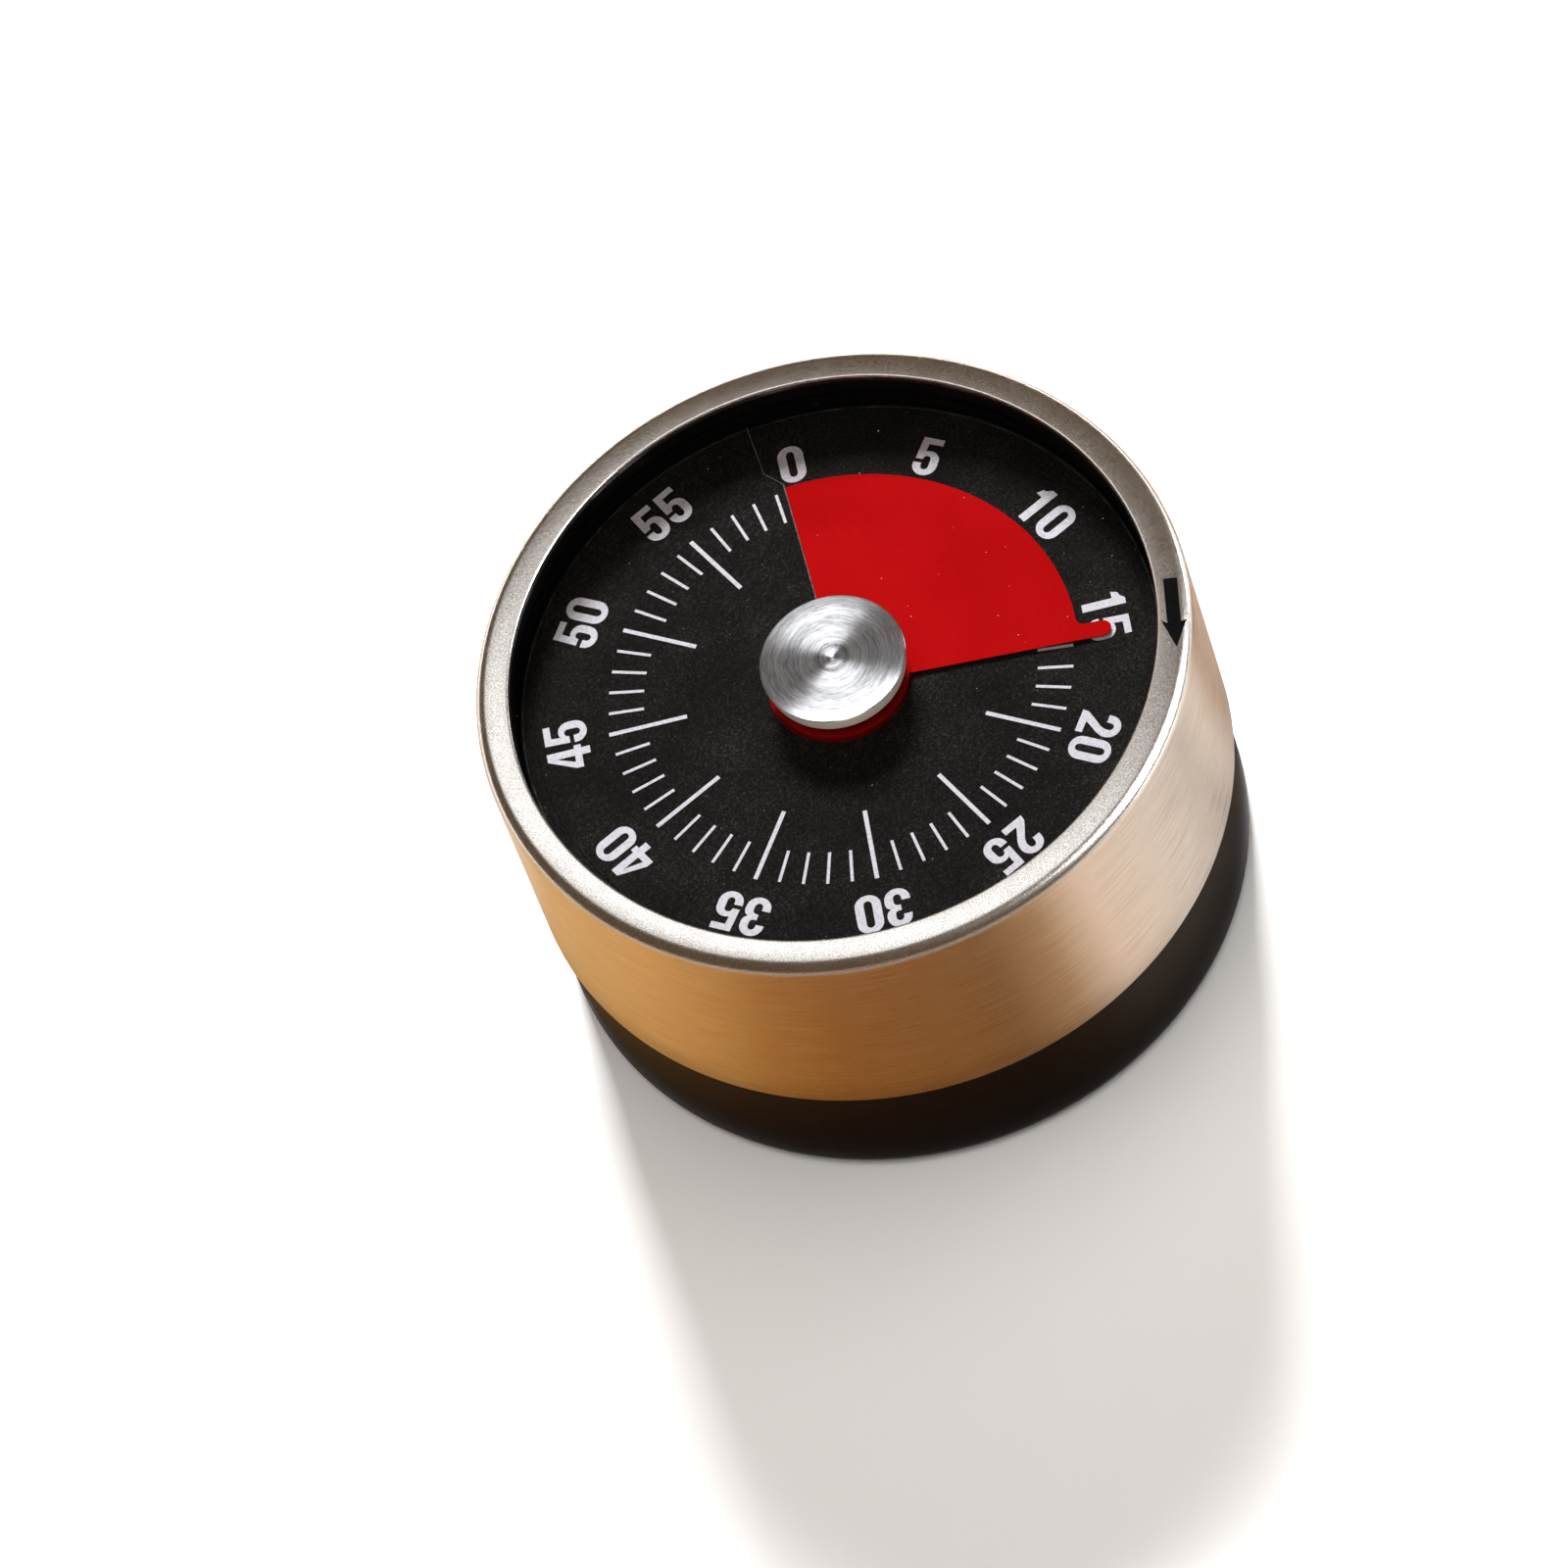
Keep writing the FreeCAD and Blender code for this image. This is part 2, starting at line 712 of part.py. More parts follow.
def escape_wheel():
    """Fifteen pointed teeth, with one tooth facing the balance."""
    place = polar_point("escape_circle", "escape_angle")
    facing = direction(place, polar_point("balance_circle", "balance_angle"))
    teeth = int(size("escape_teeth"))
    pitch = 2 * math.pi / teeth
    foot, tip = 0.3, 0.08        # half the width of a tooth at its foot and tip, in pitches
    outline = []
    for tooth in range(teeth):
        for shift, radius in ((-foot, "escape_root_radius"), (-tip, "escape_radius"),
                              (tip, "escape_radius"), (foot, "escape_root_radius")):
            angle = (tooth + shift) * pitch
            outline.append(Vector(size(radius) * math.cos(angle), size(radius) * math.sin(angle), 0))
    face = Part.Face(Part.makePolygon(outline + outline[:1]))
    disc = face.extrude(Vector(0, 0, size("wheel_thickness")))
    disc.translate(Vector(0, 0, size("escape_wheel_bottom")))
    disc = bore_through(disc, size("staff_radius"))
    disc = cut_spokes(disc, size("escape_boss_radius"), size("escape_rim_radius"), 3)
    plain_part("escape_wheel", turn_and_move(disc, facing, place))


# ---- balance with its pin pallets ----

def balance_frame():
    """The balance axis, and the pallet places seen from it along the line to the escape wheel."""
    escape = polar_point("escape_circle", "escape_angle")
    place = polar_point("balance_circle", "balance_angle")
    line = direction(place, escape)
    reach = (escape - place).Length
    turn = math.radians(size("pallet_angle"))
    ahead = reach - size("pallet_circle") * math.cos(turn)
    aside = size("pallet_circle") * math.sin(turn)
    return place, line, [Vector(ahead, aside, 0), Vector(ahead, -aside, 0)]


def pallets_and_lever():
    place, line, pallets = balance_frame()
    level = size("pallet_level")
    margin = size("pallet_margin")
    thickness = Vector(0, 0, size("pallet_thickness"))
    corners = [Vector(-size("pallet_tail"), 0, level)]
    corners += [Vector(p.x + margin, p.y + math.copysign(margin, p.y), level) for p in pallets]
    corners.insert(2, Vector(pallets[0].x - size("pallet_waist"), 0, level))
    lever = Part.Face(Part.makePolygon(corners + corners[:1])).extrude(thickness)
    lever = lever.fuse(Part.makeCylinder(size("pallet_boss_radius"), thickness.z, Vector(0, 0, level)))
    lever = bore_through(lever, size("staff_radius"))
    pins = [Part.makeCylinder(size("pallet_pin_radius"), size("pallet_pin_height"), p + Vector(0, 0, level))
            for p in pallets]
    plain_part("pallet_lever", turn_and_move(lever.cut(pins), line, place))
    plain_part("pallet_pins", turn_and_move(Part.makeCompound(pins), line, place))


def balance_wheel():
    place, line, _ = balance_frame()
    level = Vector(0, 0, size("balance_level"))
    radius, height, width = size("balance_radius"), size("balance_thickness"), size("balance_bar_width")
    rim = bore_through(Part.makeCylinder(radius, height, level), radius - size("balance_rim"))
    bar = Part.makeBox(2 * radius - width, width, height, level + Vector(width / 2 - radius, -width / 2, 0))
    boss = Part.makeCylinder(size("balance_boss_radius"), height, level)
    disc = bore_through(rim.fuse([bar, boss]), size("staff_radius"))
    plain_part("balance_wheel", turn_and_move(disc, line, place))


def balance_staff():
    place, line, _ = balance_frame()
    plain_part("balance_staff", turn_and_move(staff(), line, place))


# ---- mainspring and release ----

def mainspring():
    """A flat spiral strip, its outer end against the spring post."""
    inner, outer = size("spring_inner_radius"), size("spring_outer_radius")
    turns = int(size("spring_turns"))
    half = size("spring_thickness") / 2
    points_per_turn = 16
    steps = turns * points_per_turn
    sides = []
    for shift in (-half, half):
        points = []
        for k in range(steps + 1):
            angle = 2 * math.pi * turns * k / steps + math.pi / 2
            radius = inner + (outer - inner) * k / steps + shift
            points.append(Vector(radius * math.cos(angle), radius * math.sin(angle), 0))
        sides.append(points)
    edges = [smooth_edge(sides[0]), Part.LineSegment(sides[0][-1], sides[1][-1]).toShape(),
             smooth_edge(sides[1][::-1]), Part.LineSegment(sides[1][0], sides[0][0]).toShape()]
    strip = Part.Face(Part.Wire(edges)).extrude(Vector(0, 0, size("spring_height")))
    strip.translate(Vector(0, 0, size("spring_bottom")))
    plain_part("mainspring", strip)


def spring_post():
    body = turned("spring_post", [
        ("0", "lower_plate_bottom"), ("spring_post_radius", "lower_plate_bottom"),
        ("spring_post_radius", "spring_bottom + spring_height"), ("0", "spring_bottom + spring_height")])
    put(body, *SPRING_POST)


def spring_collet():
    turned("spring_collet", [
        ("arbor_radius", "spring_bottom"), ("collet_radius", "spring_bottom"),
        ("collet_radius", "spring_bottom + spring_height"),
        ("arbor_radius", "spring_bottom + spring_height")])


def release_cam():
    """A disc whose notch lets the trip lever drop when the time is up."""
    body = turned("release_cam", [
        ("arbor_radius", "cam_bottom"), ("cam_radius", "cam_bottom"),
        ("cam_radius", "cam_bottom + cam_thickness"), ("arbor_radius", "cam_bottom + cam_thickness")])
    notch = new_sketch(body, "Notch", "XY_Plane", "cam_bottom + cam_thickness")
    floor, mouth = "cam_notch_width / 2", "cam_notch_mouth / 2"
    polygon(notch, [("-" + floor, "-cam_notch_radius"), (floor, "-cam_notch_radius"),
                    (mouth, "-cam_radius - 1"), ("-" + mouth, "-cam_radius - 1")])
    pocket(body, notch, "cam_thickness")


def trip_lever():
    """A flat lever under the plate, its nose just off the rim of the cam."""
    body = new_body("trip_lever")
    sketch = new_sketch(body, "Lever", "XY_Plane", "cam_bottom")
    nose = polar("(cam_radius + lever_gap)", "lever_angle", "18")
    near = polar("(cam_radius + 1.6)", "lever_angle", "30")
    tail = polar("(lever_circle + 2.4)", "lever_angle", "-6")
    side = polar("(lever_circle - 1.2)", "lever_angle", "-9")
    back = polar("(lever_circle + 0.6)", "lever_angle", "9")
    polygon(sketch, [nose, side, tail, back, near])
    circles(sketch, [LEVER], "screw_radius")
    pad(body, sketch, "cam_thickness")
    head = "cam_bottom - lever_screw_head_height"
    screw = turned("trip_lever_screw", [
        ("0", head), ("lever_screw_head_radius", head), ("lever_screw_head_radius", "cam_bottom"),
        ("screw_radius", "cam_bottom"), ("screw_radius", "lower_plate_bottom"),
        ("0", "lower_plate_bottom")])
    put(screw, *LEVER)


# ---- turning shell, window and knob ----

def steel_shell():
    inside = "shell_radius - shell_wall"
    body = turned("steel_shell", [
        (inside, "shell_bottom"), ("shell_radius", "shell_bottom"), ("shell_radius", "total_height"),
        ("bezel_inner_radius", "total_height"), ("bezel_inner_radius", "total_height - shell_wall"),
        (inside, "total_height - shell_wall")])
    round_edges(body, [(size("shell_radius"), size("total_height"))], "edge_round")
    round_edges(body, [(size("bezel_inner_radius"), size("total_height"))], "lip_round")


def slide_ring():
    """A split ring in the shell that runs in the groove of the base and keeps the shell on."""
    turned("slide_ring", [
        ("ring_inner_radius", "groove_bottom + ring_play"),
        ("shell_radius - shell_wall", "groove_bottom + ring_play"),
        ("shell_radius - shell_wall", "groove_top - ring_play"),
        ("ring_inner_radius", "groove_top - ring_play")], "360 - ring_opening_angle")


def window_seat():
    outside = "shell_radius - shell_wall"
    turned("window_seat", [
        ("wall_inner_radius", "wall_bottom"), (outside, "wall_bottom"),
        (outside, "window_bottom + window_thickness"), ("window_radius", "window_bottom + window_thickness"),
        ("window_radius", "window_bottom"), ("wall_inner_radius", "window_bottom")])


def window_retainer():
    outside = "shell_radius - shell_wall"
    low = "window_bottom + window_thickness"
    high = "total_height - shell_wall"
    turned("window_retainer", [
        ("wall_inner_radius", low), (outside, low), (outside, high), ("wall_inner_radius", high)])


def window():
    top = "window_bottom + window_thickness"
    turned("window", [
        ("arbor_radius", "window_bottom"), ("window_radius", "window_bottom"), ("window_radius", top),
        ("arbor_radius", top)])


def knob_cap():
    low = "window_bottom + window_thickness"
    body = turned("knob_cap", [
        ("0", "cap_top - cap_roof"), ("arbor_radius", "cap_top - cap_roof"), ("arbor_radius", low),
        ("cap_radius", low), ("cap_radius", "cap_top"), ("cap_dimple_radius", "cap_top"),
        ("0", "cap_top - cap_dimple_depth")])
    round_edges(body, [(size("cap_radius"), size("cap_top"))], "cap_edge")


def main_arbor():
    """Carries the cam, the spring collet, the main wheel, the sliding hub and the knob cap."""
    body = turned("main_arbor", [
        ("0", "cam_bottom"), ("arbor_radius", "cam_bottom"), ("arbor_radius", "cap_top - cap_roof"),
        ("0", "cap_top - cap_roof")])
    square = new_sketch(body, "Square", "XY_Plane", "square_bottom")
    side = "square_side / 2"
    polygon(square, [("-" + side, "-" + side), (side, "-" + side), (side, side), ("-" + side, side)])
    pad(body, square, "window_bottom - square_bottom")


# ---- dial and red sector ----

def clock_point(radius, degrees, height):
    """A point by its dial angle, clockwise from the 0 mark."""
    turn = math.radians(degrees)
    return Vector(radius * math.sin(turn), radius * math.cos(turn), height)


def ramp(inner, outer, start, end, height_at_start, rise, thickness):
    """A thin sector between two dial angles that climbs evenly."""
    sides = []
    longest_step = 7.5
    steps = max(2, int(math.ceil((end - start) / longest_step)))
    for radius in (inner, outer):
        points = []
        for k in range(steps + 1):
            angle = (end - start) * k / steps
            points.append(clock_point(radius, start + angle, height_at_start + rise * angle))
        sides.append(smooth_edge(points))
    sheet_face = Part.makeRuledSurface(sides[0], sides[1])
    return sheet_face.extrude(Vector(0, 0, thickness))


def flat_sector(inner, outer, start, end, height, thickness):
    disc = Part.makeCylinder(outer, thickness, Vector(0, 0, height), Vector(0, 0, 1), end - start)
    disc = disc.cut(Part.makeCylinder(inner, thickness + 2, Vector(0, 0, height - 1)))
    disc.rotate(Vector(0, 0, 0), Vector(0, 0, 1), 90 - end)
    return disc


def slit_patch(gap, reach, height, thickness):
    """The part of the dial between the inner slit, its slanted jog and the outer slit."""
    inner, outer = size("slit_angle"), size("slit_outer_angle")
    shift = math.degrees(gap / reach)
    corners = [
        clock_point(size("slit_jog_inner") + gap, -inner, height),
        clock_point(size("slit_jog_outer") + gap, -outer + shift, height),
        clock_point(reach + 1, -outer + shift, height),
        clock_point(reach + 1, -inner, height)]
    prism = Part.Face(Part.makePolygon(corners + corners[:1])).extrude(Vector(0, 0, thickness))
    return prism.common(Part.makeCylinder(reach, thickness, Vector(0, 0, height)))


def dial_plate():
    """A thin dial whose two sides of the slit bend apart, so the sector can pass from under it."""
    rise = size("film_rise_per_degree")
    thickness = size("dial_thickness")
    bottom = size("dial_top") - thickness
    bend = thickness / 2 + size("film_thickness") / 2 + size("film_clearance")
    hole, rim = size("dial_hole_radius"), size("dial_radius")
    start = -size("slit_angle")
    dip_end = start + bend / rise
    climb_start = start + 360 - bend / rise
    climb = ramp(hole, rim, climb_start, start + 360, bottom, rise, thickness)
    climb = climb.cut(slit_patch(0, rim + 1, bottom - 1, thickness + 2))
    dip = ramp(hole, rim, start, dip_end, bottom - bend, rise, thickness)
    step = slit_patch(size("slit_width"), rim, bottom - bend, thickness)
    plate = flat_sector(hole, rim, dip_end, climb_start, bottom, thickness)
    plain_part("dial_plate", plate.fuse(climb).fuse([dip, step]))


def red_sector():
    """The red film on a helical surface, at rest from the slit to just past the 15 mark."""
    rise = size("film_rise_per_degree")
    thickness = size("film_thickness")
    middle = size("dial_top") - size("dial_thickness") / 2
    base_level = middle - thickness / 2 + rise * size("slit_angle")
    edge_angle, offset = size("edge_angle"), size("edge_offset")
    tail = edge_angle - size("film_angle")
    past_edge = edge_angle + math.degrees(math.asin(offset / size("hub_radius"))) + 1
    hub, rim = size("hub_radius"), size("film_radius")
    film = ramp(hub, rim, tail, past_edge, base_level + rise * tail, rise, thickness)
    turn = 90 - edge_angle
    beyond = Part.makeBox(1.5 * rim, rim, 4, Vector(0, -rim - offset, middle))
    beyond.rotate(Vector(0, 0, 0), Vector(0, 0, 1), turn)
    width, root = size("tab_width"), size("tab_root")
    tip_x = size("tab_radius") - width / 2
    level = base_level + rise * edge_angle + size("tab_lift")
    tab = Part.makeBox(tip_x - root, width, thickness, Vector(root, -offset, level))
    tip = Part.makeCylinder(width / 2, thickness, Vector(tip_x, width / 2 - offset, level))
    tab = tab.fuse(tip)
    tab.rotate(Vector(0, 0, 0), Vector(0, 0, 1), turn)
    plain_part("red_sector", film.cut(beyond).fuse(tab))


def sector_hub():
    body = turned("sector_hub", [
        ("0", "hub_bottom"), ("hub_radius", "hub_bottom"), ("hub_radius", "hub_top"), ("0", "hub_top")])
    square = new_sketch(body, "Square", "XY_Plane", "hub_top")
    side = "(square_side / 2 + square_play)"
    polygon(square, [("-" + side, "-" + side), (side, "-" + side), (side, side), ("-" + side, side)])
    pocket(body, square, "hub_top - hub_bottom")


def dial_carrier():
    """The tray under the dial, with three small rests that the flat part of the dial lies on."""
    rim_top = "dial_top - dial_thickness - rest_height"
    inside = "dial_radius - carrier_wall"
    floor = "tower_top + carrier_floor"
    body = turned("dial_carrier", [
        ("carrier_hole_radius", "tower_top"), ("tower_radius", "tower_top"), ("tower_radius", floor),
        ("dial_radius", floor), ("dial_radius", rim_top), (inside, rim_top), (inside, floor),
        ("carrier_hole_radius", floor)])
    rests = new_sketch(body, "Rests", "XY_Plane", rim_top + " - joining_overlap")
    places = [polar("(dial_radius - carrier_wall / 2)", str(angle)) for angle in (0, 180, 270)]
    circles(rests, places, "rest_radius")
    pad(body, rests, "rest_height + joining_overlap")
    holes = new_sketch(body, "ScrewHoles", "XY_Plane", floor)
    circles(holes, FIXINGS, "screw_radius")
    pocket(body, holes, "carrier_floor")


def build_all():
    fill_sheet()
    base_cup()
    magnets()
    foot_pad()
    bell()
    bell_screw()
    hammer_pin()
    hammer_arm()
    hammer_head()
    movement_plate("lower_plate", "lower_plate_bottom")
    movement_plate("upper_plate", "upper_plate_bottom")
    pillars()
    pillar_nuts()
    screws("movement_screws", LOWER_TOP, "screw_depth")
    dial_spacers()
    screws("dial_screws", "(tower_top + carrier_floor)", "dial_screw_depth")
    going_train()
    escape_wheel()
    balance_staff()
    pallets_and_lever()
    balance_wheel()
    mainspring()
    spring_post()
    spring_collet()
    release_cam()
    trip_lever()
    steel_shell()
    slide_ring()
    window_seat()
    window_retainer()
    window()
    knob_cap()
    main_arbor()
    dial_carrier()
    dial_plate()
    red_sector()
    sector_hub()


def check_and_export():
    doc.recompute()
    for item in doc.Objects:
        if "Invalid" in item.State or "Error" in item.State:
            raise RuntimeError("%s failed: %s" % (item.Label, item.State))
    os.makedirs("parts", exist_ok=True)
    for node in NODES:
        if node.Shape.isNull() or not node.Shape.isValid():
            raise RuntimeError("bad shape: " + node.Label)
        node.Shape.exportStep("parts/%s.step" % node.Label)
        print("%-18s volume %9.2f  solids %d" % (node.Label, node.Shape.Volume, len(node.Shape.Solids)))


build_all()
check_and_export()
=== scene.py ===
import json
import math

import bmesh
import bpy
from mathutils import Matrix, Vector


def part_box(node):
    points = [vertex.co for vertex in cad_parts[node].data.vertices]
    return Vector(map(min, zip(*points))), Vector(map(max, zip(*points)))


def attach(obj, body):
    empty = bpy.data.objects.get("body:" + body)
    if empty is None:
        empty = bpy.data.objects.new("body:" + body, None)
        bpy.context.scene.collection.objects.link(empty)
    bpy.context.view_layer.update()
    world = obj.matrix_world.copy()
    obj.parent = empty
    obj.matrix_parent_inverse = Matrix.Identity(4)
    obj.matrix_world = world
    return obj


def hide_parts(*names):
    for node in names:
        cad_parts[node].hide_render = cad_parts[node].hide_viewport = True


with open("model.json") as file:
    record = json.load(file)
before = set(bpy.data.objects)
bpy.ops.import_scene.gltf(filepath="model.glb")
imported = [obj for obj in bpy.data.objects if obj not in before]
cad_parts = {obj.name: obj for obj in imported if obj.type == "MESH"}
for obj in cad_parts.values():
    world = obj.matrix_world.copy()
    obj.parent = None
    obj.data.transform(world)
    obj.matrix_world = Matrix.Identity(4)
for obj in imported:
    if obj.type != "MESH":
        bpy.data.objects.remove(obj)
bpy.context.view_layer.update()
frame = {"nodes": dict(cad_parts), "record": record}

MM = 0.001

# ---- sizes, in millimetres, taken from the frame where it holds them ----


def box_mm(node):
    low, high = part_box(node)
    return low / MM, high / MM


SHELL_LOW, SHELL_HIGH = box_mm("steel_shell")
SHELL_RADIUS = SHELL_HIGH.x
SHELL_TOP = SHELL_HIGH.z
SHELL_BOTTOM = SHELL_LOW.z
SHELL_WALL = 0.8
LIP_RADIUS = 35.16
WALL_RADIUS = 35.3

DIAL_LOW, DIAL_HIGH = box_mm("dial_plate")
DIAL_THICKNESS = 0.12
DIAL_RADIUS = DIAL_HIGH.x
DIAL_HOLE = 7.85
SLIT_LEVEL = (DIAL_LOW.z + DIAL_HIGH.z) / 2
DIAL_BEND = (DIAL_HIGH.z - DIAL_LOW.z - DIAL_THICKNESS) / 2
DIAL_TOP = SLIT_LEVEL + DIAL_THICKNESS / 2
SLIT_ANGLE = -4.5
SLIT_OUTER_ANGLE = -8.0
JOG_INNER = 26.3
JOG_OUTER = 28.5

DIAL_GROOVE = (33.45, 33.65)     # a fine groove round the dial near its edge
HIGHLIGHT_BAND = (34.68, 34.8)         # and a paler strip beside the wall, a painted highlight standing in for the thin lit line there
RISE = 0.0035            # how far the red sector climbs, in mm for each degree of the dial
SECTOR_THICKNESS = 0.1
SECTOR_INNER = box_mm("sector_hub")[1].x
SECTOR_RADIUS = 26.0
SECTOR_SPAN = 338.0
EDGE_ANGLE = 92.97
EDGE_OFFSET = 1.08
TAB_RADIUS = 29.6
TAB_WIDTH = 1.94

WINDOW_LOW, WINDOW_HIGH = box_mm("window")
CAP_LOW, CAP_HIGH = box_mm("knob_cap")


# ---- node helpers ----

class Shading:
    """A material, built node by node in the object's own coordinates."""

    def __init__(self, name):
        self.material = bpy.data.materials.new(name)
        self.material.use_nodes = True
        self.nodes = self.material.node_tree.nodes
        self.links = self.material.node_tree.links
        self.shader = self.nodes["Principled BSDF"]
        self.position = self.nodes.new("ShaderNodeTexCoord").outputs["Object"]

    def set(self, socket, value):
        self.shader.inputs[socket].default_value = value

    def link(self, output, socket):
        self.links.new(output, self.shader.inputs[socket])

    def math(self, operation, first, second=0.0):
        node = self.nodes.new("ShaderNodeMath")
        node.operation = operation
        for socket, value in zip(node.inputs, (first, second)):
            if isinstance(value, (int, float)):
                socket.default_value = value
            else:
                self.links.new(value, socket)
        return node.outputs[0]

    def split(self):
        node = self.nodes.new("ShaderNodeSeparateXYZ")
        self.links.new(self.position, node.inputs[0])
        return node.outputs

    def vector(self, x, y, z):
        node = self.nodes.new("ShaderNodeCombineXYZ")
        for socket, value in zip(node.inputs, (x, y, z)):
            if isinstance(value, (int, float)):
                socket.default_value = value
            else:
                self.links.new(value, socket)
        return node.outputs[0]

    def distance_out(self, x, y):
        """The distance from the object's axis."""
        squares = self.math("ADD", self.math("MULTIPLY", x, x), self.math("MULTIPLY", y, y))
        return self.math("SQRT", squares)

    def noise(self, size_mm, detail=2.0, roughness=0.5, vector=None):
        node = self.nodes.new("ShaderNodeTexNoise")
        node.inputs["Scale"].default_value = 1.0 / (size_mm * MM)
        node.inputs["Detail"].default_value = detail
        node.inputs["Roughness"].default_value = roughness
        self.links.new(vector or self.position, node.inputs["Vector"])
        return node.outputs["Fac"]

    def specks(self, spacing_mm):
        """Scattered points: how far the nearest one is, in units of their spacing, and its colour."""
        node = self.nodes.new("ShaderNodeTexVoronoi")
        node.inputs["Scale"].default_value = 1.0 / (spacing_mm * MM)
        self.links.new(self.position, node.inputs["Vector"])
        return node.outputs["Distance"], node.outputs["Color"]

    def ramp(self, factor, *stops):
        node = self.nodes.new("ShaderNodeValToRGB")
        elements = node.color_ramp.elements
        while len(elements) < len(stops):
            elements.new(0.5)
        for element, (place, color) in zip(elements, stops):
            element.position = place
            element.color = (color, color, color, 1.0) if isinstance(color, float) else (*color, 1.0)
        self.links.new(factor, node.inputs["Fac"])
        return node.outputs["Color"]

    def range(self, factor, low, high, from_low=0.0, from_high=1.0):
        node = self.nodes.new("ShaderNodeMapRange")
        node.inputs["From Min"].default_value = from_low
        node.inputs["From Max"].default_value = from_high
        node.inputs["To Min"].default_value = low
        node.inputs["To Max"].default_value = high
        self.links.new(factor, node.inputs["Value"])
        return node.outputs["Result"]


class Paint(Shading):
    """A Principled material."""

    def __init__(self, name, color, roughness, metallic=0.0):
        super().__init__(name)
        self.set("Base Color", (*color, 1.0))
        self.set("Roughness", roughness)
        self.set("Metallic", metallic)

    def bump(self, height, distance_mm):
        node = self.nodes.new("ShaderNodeBump")
        node.inputs["Distance"].default_value = distance_mm * MM
        node.inputs["Strength"].default_value = 1.0
        self.links.new(height, node.inputs["Height"])
        self.link(node.outputs["Normal"], "Normal")

    def brushed_around_axis(self, strength):
        """Stretches the highlight across scratches that run round the object's axis."""
        self.set("Anisotropic", strength)
        self.set("Anisotropic Rotation", 0.25)
        node = self.nodes.new("ShaderNodeTangent")
        node.direction_type = "RADIAL"
        node.axis = "Z"
        self.link(node.outputs["Tangent"], "Tangent")


class Glow(Shading):
    """A material that only gives light."""

    def __init__(self, name):
        super().__init__(name)
        self.nodes.remove(self.shader)
        self.shader = self.nodes.new("ShaderNodeEmission")
        self.links.new(self.shader.outputs[0], self.nodes["Material Output"].inputs["Surface"])


# ---- materials ----

def brushed_side():
    """Steel brushed round the side, with fine level scratches."""
    paint = Paint("steel_brushed_side", (0.8, 0.77, 0.72), 0.3, 1.0)
    x, y, height = paint.split()
    along = paint.math("MULTIPLY", paint.math("ARCTAN2", y, x), 0.004)
    across = paint.math("MULTIPLY", height, 9.0)
    streaks = paint.noise(1.0, 3.0, 0.65, paint.vector(along, across, 0.0))
    broad = paint.noise(6.0, 2.0)
    uneven = paint.math("ADD", streaks, paint.math("MULTIPLY", broad, 0.3))
    paint.link(paint.ramp(streaks, (0.3, (0.6, 0.57, 0.52)), (0.7, (0.93, 0.9, 0.85))), "Base Color")
    paint.link(paint.range(uneven, 0.22, 0.38, 0.3, 1.0), "Roughness")
    paint.bump(streaks, 0.004)
    paint.brushed_around_axis(0.85)
    return paint.material


def blasted_bezel():
    """Steel with a fine satin grain, on the crowned rim."""
    paint = Paint("steel_satin_bezel", (0.86, 0.84, 0.81), 0.3, 1.0)
    grain = paint.noise(0.17, 2.0, 0.7)
    cloud = paint.noise(2.5, 2.0)
    paint.link(paint.ramp(grain, (0.36, (0.62, 0.6, 0.58)), (0.6, (0.97, 0.96, 0.94))), "Base Color")
    paint.link(paint.range(cloud, 0.22, 0.3), "Roughness")
    paint.bump(grain, 0.008)
    return paint.material


def moulded_black():
    """Satin black plastic of the base."""
    paint = Paint("base_plastic", (0.01, 0.007, 0.006), 0.4)
    grain = paint.noise(0.35, 3.0)
    paint.link(paint.ramp(grain, (0.35, (0.006, 0.004, 0.0035)), (0.7, (0.013, 0.009, 0.008))), "Base Color")
    paint.link(paint.range(grain, 0.34, 0.46), "Roughness")
    paint.bump(grain, 0.006)
    paint.set("Specular IOR Level", 0.15)
    return paint.material


def wall_black():
    """Satin black of the ring between the dial and the rim."""
    paint = Paint("wall_plastic", (0.008, 0.008, 0.008), 0.4)
    grain = paint.noise(0.5, 2.0)
    paint.link(paint.ramp(grain, (0.3, 0.006), (0.7, 0.013)), "Base Color")
    paint.link(paint.range(grain, 0.34, 0.48), "Roughness")
    return paint.material


def dial_black():
    """Matt black of the dial, with a fine lighter grain."""
    paint = Paint("dial_print_black", (0.018, 0.017, 0.017), 0.62)
    grain = paint.noise(0.28, 3.0, 0.75)
    cloud = paint.noise(7.0, 2.0)
    mixed = paint.math("ADD", paint.math("MULTIPLY", grain, 0.8), paint.math("MULTIPLY", cloud, 0.2))
    paint.link(paint.ramp(mixed, (0.38, (0.008, 0.0075, 0.0075)), (0.54, (0.018, 0.017, 0.0165)),
                          (0.7, (0.06, 0.057, 0.055))), "Base Color")
    paint.link(paint.range(grain, 0.5, 0.72), "Roughness")
    paint.bump(grain, 0.01)
    paint.set("Specular IOR Level", 0.1)
    return paint.material


def cut_edge():
    """The pale cut edge of the dial card along its slit."""
    paint = Paint("dial_cut_edge", (0.2, 0.21, 0.2), 0.6)
    grain = paint.noise(0.4, 2.0)
    paint.link(paint.ramp(grain, (0.3, (0.06, 0.065, 0.06)), (0.75, (0.26, 0.28, 0.27))), "Base Color")
    return paint.material


def dull_edge():
    """A paler strip round the outer edge of the dial card: a painted highlight, the thin lit line where the
    dial meets the wall.
    """
    paint = Paint("dial_edge_painted_highlight", (0.06, 0.06, 0.055), 0.5)
    grain = paint.noise(1.6, 2.0)
    paint.link(paint.ramp(grain, (0.35, (0.02, 0.02, 0.018)), (0.7, (0.11, 0.11, 0.1))), "Base Color")
    paint.link(paint.range(grain, 0.4, 0.6), "Roughness")
    return paint.material


